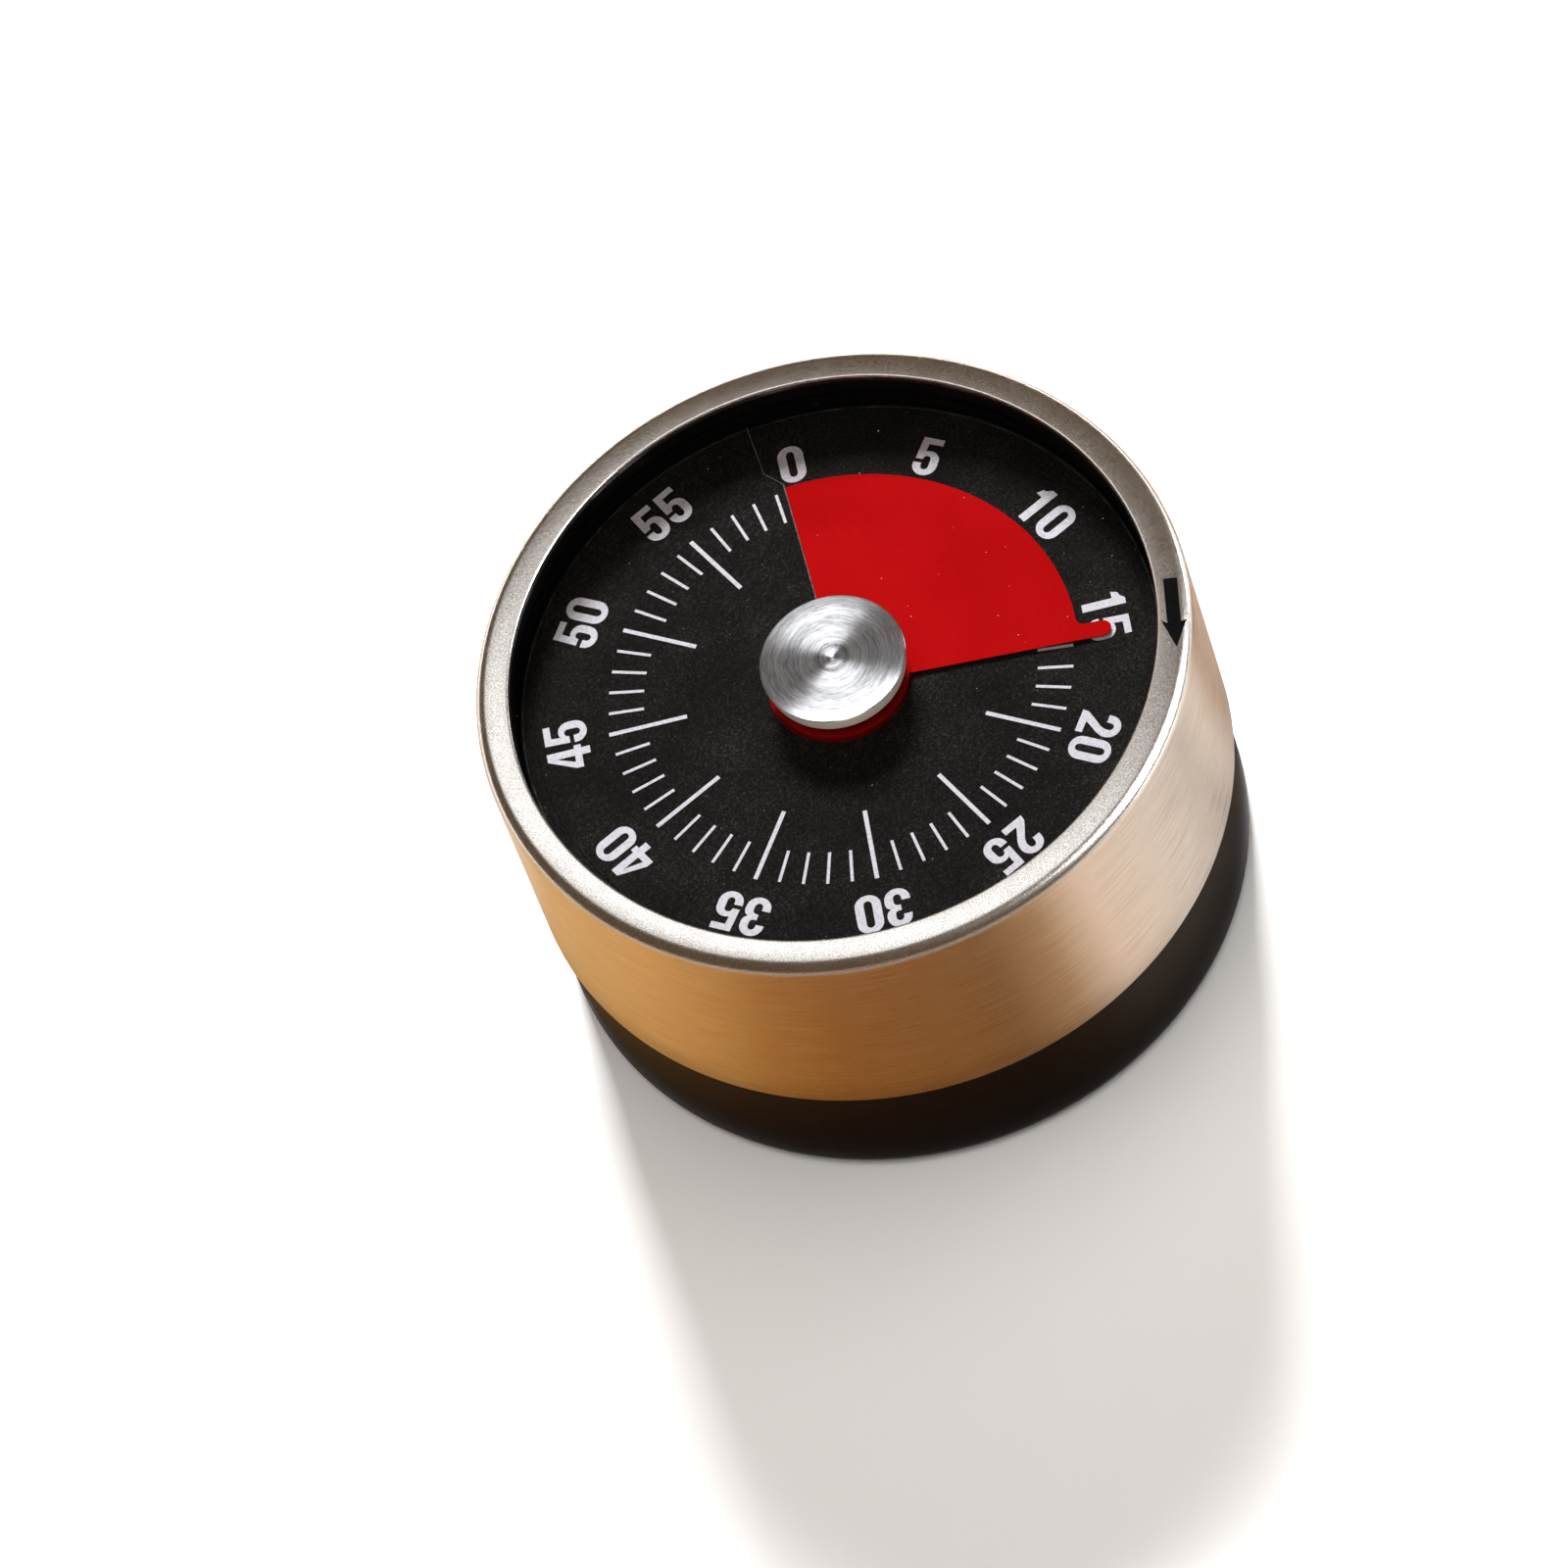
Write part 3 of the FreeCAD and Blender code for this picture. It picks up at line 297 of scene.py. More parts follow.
def print_white():
    """The slightly lilac white ink of the ticks and numbers."""
    paint = Paint("print_white", (0.74, 0.71, 0.8), 0.55)
    mottle = paint.noise(0.3, 2.0)
    paint.link(paint.ramp(mottle, (0.3, (0.7, 0.68, 0.77)), (0.6, (0.9, 0.88, 0.96))), "Base Color")
    paint.bump(mottle, 0.004)
    return paint.material


def arrow_black():
    """The black ink of the arrow on the rim."""
    paint = Paint("print_black", (0.012, 0.012, 0.012), 0.45)
    mottle = paint.noise(0.25, 2.0)
    paint.link(paint.ramp(mottle, (0.3, 0.002), (0.75, 0.005)), "Base Color")
    paint.link(paint.range(mottle, 0.6, 0.75), "Roughness")
    paint.set("Specular IOR Level", 0.05)
    return paint.material


def red_film():
    """Saturated red satin film."""
    paint = Paint("sector_red", (0.53, 0.004, 0.006), 0.45)
    grain = paint.noise(0.3, 3.0, 0.7)
    cloud = paint.noise(9.0, 1.0)
    mixed = paint.math("ADD", paint.math("MULTIPLY", grain, 0.5), paint.math("MULTIPLY", cloud, 0.5))
    paint.link(paint.ramp(mixed, (0.3, (0.47, 0.003, 0.004)), (0.7, (0.59, 0.006, 0.008))), "Base Color")
    paint.link(paint.range(grain, 0.4, 0.55), "Roughness")
    paint.bump(grain, 0.006)
    paint.set("Specular IOR Level", 0.05)
    return paint.material


def hub_red():
    """Red moulded plastic of the hub under the knob."""
    paint = Paint("hub_red", (0.55, 0.008, 0.01), 0.4)
    grain = paint.noise(0.5, 2.0)
    paint.link(paint.ramp(grain, (0.3, (0.48, 0.007, 0.008)), (0.7, (0.6, 0.01, 0.012))), "Base Color")
    paint.link(paint.range(grain, 0.33, 0.5), "Roughness")
    return paint.material


def turned_cap():
    """Aluminium turned on a lathe: fine rings about the centre."""
    paint = Paint("cap_turned", (0.8, 0.8, 0.8), 0.26, 1.0)
    x, y, height = paint.split()
    distance = paint.distance_out(x, y)
    slow_x, slow_y = (paint.math("MULTIPLY", part, 0.12) for part in (x, y))
    rings = paint.noise(0.2, 4.0, 0.75, paint.vector(distance, slow_x, slow_y))
    slow_height = paint.math("MULTIPLY", height, 0.6)
    wide = paint.noise(1.1, 2.0, 0.5, paint.vector(distance, 0.0, slow_height))
    mixed = paint.math("ADD", paint.math("MULTIPLY", rings, 0.6), paint.math("MULTIPLY", wide, 0.4))
    paint.link(paint.ramp(mixed, (0.38, (0.34, 0.35, 0.38)), (0.58, (0.9, 0.92, 0.96))), "Base Color")
    paint.link(paint.range(wide, 0.26, 0.38, 0.3, 0.7), "Roughness")
    paint.bump(rings, 0.008)
    paint.brushed_around_axis(0.9)
    return paint.material


def cap_side():
    """The dull turned side of the cap."""
    paint = Paint("cap_side", (0.8, 0.77, 0.72), 0.5, 0.35)
    _, _, height = paint.split()
    lines = paint.noise(0.15, 3.0, 0.7, paint.vector(0.0, 0.0, height))
    paint.link(paint.ramp(lines, (0.3, (0.66, 0.63, 0.59)), (0.65, (0.86, 0.83, 0.78))), "Base Color")
    paint.link(paint.range(lines, 0.42, 0.58), "Roughness")
    paint.bump(lines, 0.006)
    return paint.material


def clear_window():
    """A clear pane, seen mostly by its gloss at a slant, with a few specks of dust on it."""
    paint = Paint("window_clear", (0.02, 0.02, 0.02), 0.05)
    distance, color = paint.specks(1.9)
    speck_size, left_out, acrylic_ior = 0.032, 0.3, 1.49
    near = paint.math("LESS_THAN", distance, speck_size)
    random = paint.nodes.new("ShaderNodeSeparateColor")
    paint.links.new(color, random.inputs[0])
    dust = paint.math("MULTIPLY", near, paint.math("GREATER_THAN", random.outputs[0], left_out))
    slant = paint.nodes.new("ShaderNodeFresnel")
    slant.inputs["IOR"].default_value = acrylic_ior
    gloss = paint.range(slant.outputs[0], 0.0, 0.6, 0.04, 1.0)
    paint.link(paint.ramp(dust, (0.0, 0.02), (1.0, (0.5, 0.5, 0.47))), "Base Color")
    paint.link(paint.math("MAXIMUM", gloss, paint.math("MULTIPLY", dust, 0.4)), "Alpha")
    paint.link(paint.range(dust, 0.05, 0.7), "Roughness")
    return paint.material


PLAIN_SPREAD = 0.08      # how far the roughness of the plain materials strays either way


def plain_metal(name, low, high, roughness):
    """A worked metal for the pieces inside."""
    paint = Paint(name, high, roughness, 1.0)
    grain = paint.noise(0.8, 3.0)
    paint.link(paint.ramp(grain, (0.3, low), (0.7, high)), "Base Color")
    paint.link(paint.range(grain, roughness - PLAIN_SPREAD, roughness + PLAIN_SPREAD), "Roughness")
    paint.bump(grain, 0.004)
    return paint.material


def plain_matter(name, low, high, roughness):
    """A dull non-metal for the pieces inside and underneath."""
    paint = Paint(name, high, roughness)
    grain = paint.noise(0.5, 3.0)
    paint.link(paint.ramp(grain, (0.3, low), (0.7, high)), "Base Color")
    paint.link(paint.range(grain, roughness - PLAIN_SPREAD, roughness + PLAIN_SPREAD), "Roughness")
    paint.bump(grain, 0.008)
    return paint.material


SIDE = brushed_side()
BEZEL = blasted_bezel()
BASE_BLACK = moulded_black()
WALL_BLACK = wall_black()
DIAL_BLACK = dial_black()
CUT_EDGE = cut_edge()
EDGE_HIGHLIGHT_PAINT = dull_edge()
WHITE_INK = print_white()
BLACK_INK = arrow_black()
RED_FILM = red_film()
HUB_RED = hub_red()
CAP_METAL = turned_cap()
CAP_SIDE = cap_side()
CLEAR = clear_window()
BY_SLOT = {
    "black_plastic": BASE_BLACK,
    "wall_black": WALL_BLACK,
    "dial_black": DIAL_BLACK,
    "red_film": RED_FILM,
    "red_plastic": HUB_RED,
    "shell_steel": SIDE,
    "clear_window": CLEAR,
    "turned_aluminium": CAP_METAL,
    "white_plastic": plain_matter("nylon_white", (0.7, 0.69, 0.67), (0.82, 0.81, 0.79), 0.5),
    "rubber_pad": plain_matter("pad_rubber", (0.012, 0.012, 0.012), (0.03, 0.03, 0.03), 0.75),
    "magnet_ferrite": plain_matter("magnet_grey", (0.05, 0.05, 0.055), (0.1, 0.1, 0.105), 0.6),
    "bell_steel": plain_metal("bell_plated", (0.62, 0.62, 0.63), (0.75, 0.75, 0.76), 0.2),
    "plain_steel": plain_metal("steel_turned", (0.4, 0.4, 0.41), (0.58, 0.58, 0.6), 0.35),
    "spring_steel": plain_metal("steel_blued", (0.12, 0.14, 0.2), (0.25, 0.27, 0.33), 0.32),
    "train_brass": plain_metal("brass_worked", (0.58, 0.4, 0.15), (0.78, 0.57, 0.25), 0.3),
}


# ---- mesh helpers ----

SHARP_EDGE = math.radians(30)
ON_AXIS = 1e-6           # a radius below this, in mm, is a point on the axis


def clock_point(radius, degrees, height):
    """A point in metres by its dial angle in degrees, clockwise from the 0 mark."""
    turn = math.radians(degrees)
    return Vector((radius * math.sin(turn), radius * math.cos(turn), height)) * MM


def sheet_pair(radius, degrees, top, thickness):
    """The top and the bottom point of a sheet at one place."""
    return clock_point(radius, degrees, top), clock_point(radius, degrees, top - thickness)


def smooth(data):
    """Smooth shading, with edges sharper than SHARP_EDGE left hard."""
    data.polygons.foreach_set("use_smooth", [True] * len(data.polygons))
    data.set_sharp_from_angle(angle=SHARP_EDGE)


def finish_piece(piece, body):
    smooth(piece.data)
    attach(piece, body)
    return piece


def new_piece(name, vertices, faces, indices, materials, body):
    mesh = bpy.data.meshes.new(name)
    mesh.from_pydata([tuple(v) for v in vertices], [], faces)
    for material in materials:
        mesh.materials.append(material)
    mesh.polygons.foreach_set("material_index", indices)
    bm = bmesh.new()
    bm.from_mesh(mesh)
    bmesh.ops.recalc_face_normals(bm, faces=bm.faces)
    bm.to_mesh(mesh)
    bm.free()
    piece = bpy.data.objects.new(name, mesh)
    bpy.context.scene.collection.objects.link(piece)
    return finish_piece(piece, body)


def arc(across, along, radius, start, end, steps=8, flatten=1.0):
    """Points of an arc, angles in degrees; flatten scales it along the second axis."""
    points = []
    for k in range(steps + 1):
        angle = math.radians(start + (end - start) * k / steps)
        points.append((across + radius * math.cos(angle), along + radius * flatten * math.sin(angle)))
    return points


def lathe(name, profile, materials, body, pick=None, segments=288):
    """Turns a closed outline of (radius, height) in mm about the axis. The function pick gives
    the number of a face's material from the middle of its stretch of the outline."""
    vertices, rings = [], []
    for radius, height in profile:
        if radius < ON_AXIS:
            rings.append([len(vertices)])
            vertices.append(Vector((0, 0, height * MM)))
        else:
            rings.append(list(range(len(vertices), len(vertices) + segments)))
            vertices += [clock_point(radius, 360.0 * k / segments, height) for k in range(segments)]
    faces, indices = [], []
    for row, ring in enumerate(rings):
        after = rings[(row + 1) % len(rings)]
        if len(ring) == 1 and len(after) == 1:
            continue
        for k in range(segments):
            corners = [ring[k % len(ring)], ring[(k + 1) % len(ring)],
                       after[(k + 1) % len(after)], after[k % len(after)]]
            faces.append(list(dict.fromkeys(corners)))
            middle = [(profile[row][i] + profile[(row + 1) % len(profile)][i]) / 2 for i in (0, 1)]
            indices.append(pick(*middle) if pick else 0)
    return new_piece(name, vertices, faces, indices, materials, body)


def grid_slab(name, columns, materials, body, pick=None):
    """A closed thin sheet. Each column is a list of (top point, bottom point) pairs, in metres.
    The function pick gives the number of a top face's material from its column and row, and
    the two ends take the last material."""
    rows = len(columns[0])
    vertices = []
    for column in columns:
        vertices += [pair[0] for pair in column] + [pair[1] for pair in column]

    def at(column, row, below):
        return column * 2 * rows + row + (rows if below else 0)

    faces, indices = [], []

    def add(corners, index):
        faces.append(corners)
        indices.append(index)

    last = len(columns) - 1
    for c in range(last):
        for r in range(rows - 1):
            top = pick(c, r) if pick else 0
            add([at(c, r, 0), at(c + 1, r, 0), at(c + 1, r + 1, 0), at(c, r + 1, 0)], top)
            add([at(c, r, 1), at(c, r + 1, 1), at(c + 1, r + 1, 1), at(c + 1, r, 1)], 0)
        for r in (0, rows - 1):
            add([at(c, r, 0), at(c, r, 1), at(c + 1, r, 1), at(c + 1, r, 0)], 0)
    for c in (0, last):
        for r in range(rows - 1):
            add([at(c, r, 0), at(c, r + 1, 0), at(c, r + 1, 1), at(c, r, 1)], len(materials) - 1)
    return new_piece(name, vertices, faces, indices, materials, body)


def draped_plate(name, shapes, height_at, thickness, material, body, cuts=0):
    """Thin closed plates from flat outlines in mm, laid on the surface that height_at gives.
    Each shape is a list of loops: the outline and then its holes."""
    curve = bpy.data.curves.new(name + "_outline", "CURVE")
    curve.dimensions = "2D"
    curve.fill_mode = "BOTH"
    curve.extrude = 1.0
    for loops in shapes:
        for loop in loops:
            spline = curve.splines.new("POLY")
            spline.points.add(len(loop) - 1)
            for point, (x, y) in zip(spline.points, loop):
                point.co = (x, y, 0.0, 1.0)
            spline.use_cyclic_u = True
    drawn = bpy.data.objects.new(name + "_outline", curve)
    bpy.context.scene.collection.objects.link(drawn)
    bpy.context.view_layer.update()
    depsgraph = bpy.context.evaluated_depsgraph_get()
    mesh = bpy.data.meshes.new_from_object(drawn.evaluated_get(depsgraph))
    bpy.data.objects.remove(drawn)
    bpy.data.curves.remove(curve)
    bm = bmesh.new()
    bm.from_mesh(mesh)
    bmesh.ops.remove_doubles(bm, verts=bm.verts, dist=1e-5)
    if cuts:
        bmesh.ops.subdivide_edges(bm, edges=bm.edges, cuts=cuts, use_grid_fill=True)
    for vertex in bm.verts:
        x, y, z = vertex.co
        level = height_at(math.hypot(x, y), math.degrees(math.atan2(x, y)))
        vertex.co = Vector((x, y, level + (thickness if z > 0 else 0.0))) * MM
    bmesh.ops.recalc_face_normals(bm, faces=bm.faces)
    bm.to_mesh(mesh)
    bm.free()
    mesh.name = name
    mesh.materials.clear()
    mesh.materials.append(material)
    piece = bpy.data.objects.new(name, mesh)
    bpy.context.scene.collection.objects.link(piece)
    return finish_piece(piece, body)


# ---- turning shell ----

BEZEL_OUTER = 37.7       # where the crowned rim turns into the round of the outer edge
BEZEL_END_SLOPE = 0.12   # how steeply the rim falls away there; it is level at the lip
TURN_START = math.degrees(math.atan(1 / BEZEL_END_SLOPE))
EDGE_ROUND = (SHELL_RADIUS - BEZEL_OUTER) / (1 - math.cos(math.radians(TURN_START)))
LIP_ROUND = 0.22
ARBOR_BORE = 1.8         # the radius of the holes that the main arbor goes through


def bezel_height(radius):
    """The top of the rim: it falls away from the lip, then rounds over into the side."""
    across = min(radius, BEZEL_OUTER) - LIP_RADIUS - LIP_ROUND
    bend = BEZEL_END_SLOPE / (BEZEL_OUTER - LIP_RADIUS - LIP_ROUND)
    height = SHELL_TOP - bend * across ** 2 / 2
    if radius <= BEZEL_OUTER:
        return height
    middle = height - EDGE_ROUND * math.sin(math.radians(TURN_START))
    return middle + math.sqrt(max(0.0, EDGE_ROUND ** 2 - (radius - SHELL_RADIUS + EDGE_ROUND) ** 2))


def steel_shell():
    """The brushed side, the round outer edge, the crowned rim and its lip, in one piece."""
    inside = SHELL_RADIUS - SHELL_WALL
    crown_steps, side_steps = 16, 6
    corner = 0.15
    round_low = bezel_height(SHELL_RADIUS)
    profile = [(inside, SHELL_BOTTOM)]
    profile += arc(SHELL_RADIUS - corner, SHELL_BOTTOM + corner, corner, -90, 0, 3)
    profile += [(SHELL_RADIUS, SHELL_BOTTOM + k * (round_low - SHELL_BOTTOM) / side_steps)
                for k in range(1, side_steps)]
    profile += arc(SHELL_RADIUS - EDGE_ROUND, round_low, EDGE_ROUND, 0, TURN_START, 14)
    for k in range(1, crown_steps + 1):
        radius = BEZEL_OUTER + (LIP_RADIUS + LIP_ROUND - BEZEL_OUTER) * k / crown_steps
        profile.append((radius, bezel_height(radius)))
    profile += arc(LIP_RADIUS + LIP_ROUND, SHELL_TOP - LIP_ROUND, LIP_ROUND, 90, 180, 5)[1:]
    profile += [(LIP_RADIUS, SHELL_TOP - SHELL_WALL), (inside, SHELL_TOP - SHELL_WALL)]
    brushed_top = round_low + EDGE_ROUND * 0.55
    piece = lathe("shell_outer", profile, [SIDE, BEZEL], "shell",
                  lambda r, z: 1 if z > brushed_top or r < inside else 0)
    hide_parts("steel_shell")


def wall_ring():
    """The dark ring that clamps the window, with a soft lower edge."""
    low, high = WINDOW_HIGH.z, SHELL_TOP - SHELL_WALL
    outside = SHELL_RADIUS - SHELL_WALL
    foot = 0.22
    profile = [(outside, high), (WALL_RADIUS, high)]
    profile += arc(WALL_RADIUS + foot, low + foot, foot, 180, 270, 4)
    profile += [(outside, low)]
    piece = lathe("wall_ring", profile, [WALL_BLACK], "shell")
    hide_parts("window_retainer")


def window_pane():
    """The clear pane over the dial."""
    low, high, rim = WINDOW_LOW.z, WINDOW_HIGH.z, WINDOW_HIGH.x
    bevel = 0.05
    profile = [(ARBOR_BORE, low), (rim - bevel, low), (rim, low + bevel),
               (rim, high - bevel), (rim - bevel, high), (ARBOR_BORE, high)]
    piece = lathe("window_pane", profile, [CLEAR], "shell")
    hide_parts("window")


def knob_cap():
    """The turned cap: its side drawn in below, its top dished a little at the centre."""
    radius, low, high = CAP_HIGH.x, CAP_LOW.z, CAP_HIGH.z
    roof = 0.6
    draw_in, low_round = 0.45, 0.1
    top_round, side_top = 0.2, high - 0.35
    ring_width, rings = 0.9, 7
    dish = ((1.1, 0.0), (0.75, 0.02), (0.5, 0.05), (0.25, 0.08), (0.0, 0.09))
    profile = [(0.0, high - roof), (ARBOR_BORE, high - roof), (ARBOR_BORE, low)]
    profile += arc(radius - draw_in, low + low_round, low_round, -90, 0, 2)
    profile += arc(radius - top_round, side_top, top_round, 0, 90, 4)
    profile += [(radius - k * ring_width, high) for k in range(1, rings + 1)]
    profile += [(across, high - depth) for across, depth in dish]
    piece = lathe("knob_disc", profile, [CAP_METAL, CAP_SIDE], "shell",
                  lambda r, z: 1 if z < side_top else 0, 192)
    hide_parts("knob_cap")


def rim_arrow():
    """The clockwise arrow printed on the rim."""
    start, tip = Vector((36.98, -0.75)), Vector((36.2, -9.4))
    forward = (tip - start).normalized()
    side = Vector((forward.y, -forward.x))
    length = (tip - start).length
    shaft, wing = 0.74, 1.35
    neck, barb = length * 0.64, length * 0.6
    outline = [(0, shaft), (neck, shaft), (barb, wing), (length, 0.0),
               (barb, -wing), (neck, -shaft), (0, -shaft)]
    steps = 4
    loop = []
    for k, (along, across) in enumerate(outline):
        after = outline[(k + 1) % len(outline)]
        for step in range(steps):
            share = step / steps
            point = start + forward * (along + (after[0] - along) * share)
            point += side * (across + (after[1] - across) * share)
            loop.append((point.x, point.y))
    lift, ink = 0.01, 0.02
    draped_plate("rim_arrow", [[loop]], lambda r, a: bezel_height(r) + lift, ink, BLACK_INK,
                 "shell", cuts=4)


# ---- dial ----

MINUTE = 6               # degrees of the dial to a minute
OFF_THE_SLIT = 1e-6      # in degrees, so that each side of the slit takes its own height
INK_LIFT = 0.002         # the printed marks stand this far off the dial, in mm
INK_THICKNESS = 0.014


def slit_angle(radius):
    """Where the slit in the dial lies at a radius: straight, a slant, straight again."""
    share = min(1.0, max(0.0, (radius - JOG_INNER) / (JOG_OUTER - JOG_INNER)))
    return SLIT_ANGLE + (SLIT_OUTER_ANGLE - SLIT_ANGLE) * share


def dial_height(radius, degrees):
    """The dial's top: flat, but bent down past the slit and up before it."""
    past = (degrees - slit_angle(radius)) % 360 + slit_angle(radius) - SLIT_ANGLE
    if past < 180:
        return DIAL_TOP + min(0.0, -DIAL_BEND + RISE * max(0.0, past))
    return DIAL_TOP + max(0.0, DIAL_BEND + RISE * (past - 360))


def dial_sheet():
    """The dial from one side of its slit all the way round to the other, as one sheet."""
    radii = [DIAL_HOLE, 12, 17, 22, JOG_INNER, 26.9, 27.4, 27.95, JOG_OUTER, 31, 33,
             DIAL_GROOVE[0], sum(DIAL_GROOVE) / 2, DIAL_GROOVE[1], *HIGHLIGHT_BAND, DIAL_RADIUS]
    groove_row, highlight_row = radii.index(DIAL_GROOVE[0]) + 1, radii.index(HIGHLIGHT_BAND[0])
    groove_depth = DIAL_THICKNESS * 0.7
    edge_strip, slit_gap = 0.11, 0.06
    angles = [k * 1.5 for k in range(240)]
    columns = []
    for step in angles + ["strip", "end"]:
        column = []
        for radius in radii:
            strip = math.degrees(edge_strip / radius)
            gap = math.degrees(slit_gap / radius)
            past = {"strip": 360 - strip - gap, "end": 360 - gap}.get(step, step)
            angle = slit_angle(radius) + past
            level = dial_height(radius, angle + (OFF_THE_SLIT if step == 0 else -OFF_THE_SLIT))
            if radius == radii[groove_row]:
                level -= groove_depth
            column.append(sheet_pair(radius, angle, level, DIAL_THICKNESS))
        columns.append(column)
    # The band just inside the wall takes the paler colour, a painted highlight of the lit line along the
    # dial's edge.
    piece = grid_slab("dial_card", columns, [DIAL_BLACK, EDGE_HIGHLIGHT_PAINT, CUT_EDGE], "base",
                      lambda c, r: 2 if c == len(columns) - 2 else int(r == highlight_row))
    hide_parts("dial_plate")


def on_dial(radius, degrees):
    return dial_height(radius, degrees) + INK_LIFT


# The marks and numbers are printed a little off an even scale near the slit. In degrees.
LAST_MARKS_SHIFT = -1.2
LAST_MARKS_FROM = 55
LONG_MARK = (16.9, 25.5, 0.24)     # inner radius, outer radius, half width
SHORT_MARK = (21.45, 25.3, 0.17)


def minute_ticks():
    """A short mark for each minute and a long one for each fifth."""
    shapes = []
    for minute in range(60):
        inner, outer, half = LONG_MARK if minute % 5 == 0 else SHORT_MARK
        shift = LAST_MARKS_SHIFT if minute >= LAST_MARKS_FROM else 0.0
        turn = math.radians(MINUTE * minute + shift)
        out = Vector((math.sin(turn), math.cos(turn)))
        aside = Vector((out.y, -out.x)) * half
        corners = [out * inner - aside, out * inner + aside, out * outer + aside, out * outer - aside]
        shapes.append([[(c.x, c.y) for c in corners]])
    draped_plate("dial_ticks", shapes, on_dial, INK_THICKNESS, WHITE_INK, "base")


# ---- numbers: own outlines in a box 0.62 wide and 1 high ----

NUMBER_SHIFT = {0: -1.8, 5: -1.6, 50: -0.5, 55: -1.05}    # degrees off their marks, as printed
OTHER_NUMBERS_SHIFT = -0.15
NUMBER_HEIGHT = 4.75
FIRST_NUMBER_RADIUS = 28.75
NUMBERS_MOVE_OUT = 1.7   # from the first to the last
LAST_NUMBER = 55
DIGIT_WIDTH = 0.62
DIGIT_GAP = 0.05


def oval(across, top, bottom, radius, squash):
    """A closed upright slot with elliptical ends."""
    upper = arc(across, top, radius, 0, 180, 10, squash)
    lower = arc(across, bottom, radius, 180, 360, 10, squash)
    return upper + lower


def digit_0():
    return [oval(0.31, 0.73, 0.27, 0.3, 0.9), oval(0.31, 0.745, 0.255, 0.095, 1.1)]


def digit_1():
    flag = arc(0.06, 1.0, 0.2, 0, -75, 4, 0.75)
    return [[(0.235, 0.0), (0.445, 0.0), (0.445, 1.0), (0.29, 1.0)] + flag[1:]
            + [(0.06, 0.7), (0.235, 0.7)]]


def digit_2():
    outside = arc(0.31, 0.72, 0.285, 0, 180, 10, 0.98)
    inside = arc(0.31, 0.735, 0.09, 180, 0, 8, 1.1)
    return [[(0.03, 0.0), (0.6, 0.0), (0.6, 0.17), (0.3, 0.17), (0.38, 0.29), (0.52, 0.48), (0.585, 0.62)]
            + outside + [(0.025, 0.64), (0.215, 0.64)] + inside
            + [(0.395, 0.65), (0.35, 0.54), (0.16, 0.3), (0.05, 0.15)]]


def digit_3():
    upper_in = arc(0.31, 0.745, 0.088, 180, 0, 8, 1.05)
    lower_in = arc(0.31, 0.25, 0.092, 0, -180, 8, 1.05)
    lower_out = arc(0.31, 0.27, 0.292, 180, 360, 10, 0.93)
    upper_out = arc(0.31, 0.735, 0.282, 0, 180, 10, 0.94)
    return [[(0.222, 0.69)] + upper_in + [(0.396, 0.65), (0.375, 0.6), (0.32, 0.58), (0.25, 0.58),
            (0.25, 0.435), (0.325, 0.432), (0.385, 0.4), (0.402, 0.34)] + lower_in
            + [(0.218, 0.32), (0.018, 0.32)] + lower_out
            + [(0.602, 0.37), (0.57, 0.46), (0.485, 0.512), (0.56, 0.565), (0.592, 0.65)]
            + upper_out + [(0.028, 0.69)]]


def digit_4():
    outside = [(0.31, 1.0), (0.52, 1.0), (0.52, 0.365), (0.61, 0.365), (0.61, 0.2), (0.52, 0.2),
               (0.52, 0.0), (0.33, 0.0), (0.33, 0.2), (0.0, 0.2), (0.0, 0.365)]
    return [outside, [(0.335, 0.365), (0.165, 0.365), (0.335, 0.79)]]


def digit_5():
    bowl_out = arc(0.345, 0.42, 0.255, 118, 0, 8, 0.95)
    lower_out = arc(0.31, 0.27, 0.29, 0, -180, 10, 0.93)
    lower_in = arc(0.31, 0.25, 0.09, 180, 360, 8, 1.05)
    bowl_in = arc(0.31, 0.44, 0.09, 0, 180, 8, 0.95)
    return [[(0.07, 1.0), (0.57, 1.0), (0.57, 0.84), (0.24, 0.84)] + bowl_out + lower_out
            + [(0.02, 0.32), (0.22, 0.32)] + lower_in + bowl_in + [(0.21, 0.42), (0.04, 0.42)]]


DIGITS = {"0": digit_0, "1": digit_1, "2": digit_2, "3": digit_3, "4": digit_4, "5": digit_5}


def dial_numbers():
    """0 to 55 round the dial, tops outward, each a little further out than the one before."""
    height = NUMBER_HEIGHT
    shapes = []
    for minute in range(0, LAST_NUMBER + 1, 5):
        text = str(minute)
        centre = FIRST_NUMBER_RADIUS + NUMBERS_MOVE_OUT * minute / LAST_NUMBER
        width = len(text) * DIGIT_WIDTH + (len(text) - 1) * DIGIT_GAP
        turn = math.radians(MINUTE * minute + NUMBER_SHIFT.get(minute, OTHER_NUMBERS_SHIFT))
        out = Vector((math.sin(turn), math.cos(turn)))
        aside = Vector((out.y, -out.x))
        for place, digit in enumerate(text):
            left = place * (DIGIT_WIDTH + DIGIT_GAP) - width / 2
            loops = []
            for loop in DIGITS[digit]():
                points = [out * (centre + (y - 0.5) * height) + aside * (left + x) * height
                          for x, y in loop]
                loops.append([(p.x, p.y) for p in points])
            shapes.append(loops)
    draped_plate("dial_numbers", shapes, on_dial, INK_THICKNESS, WHITE_INK, "base")


# ---- red sector ----

def sector_level(degrees):
    """The top of the red film at a dial angle, on its helical surface."""
    return SLIT_LEVEL + SECTOR_THICKNESS / 2 + RISE * (degrees - SLIT_ANGLE)


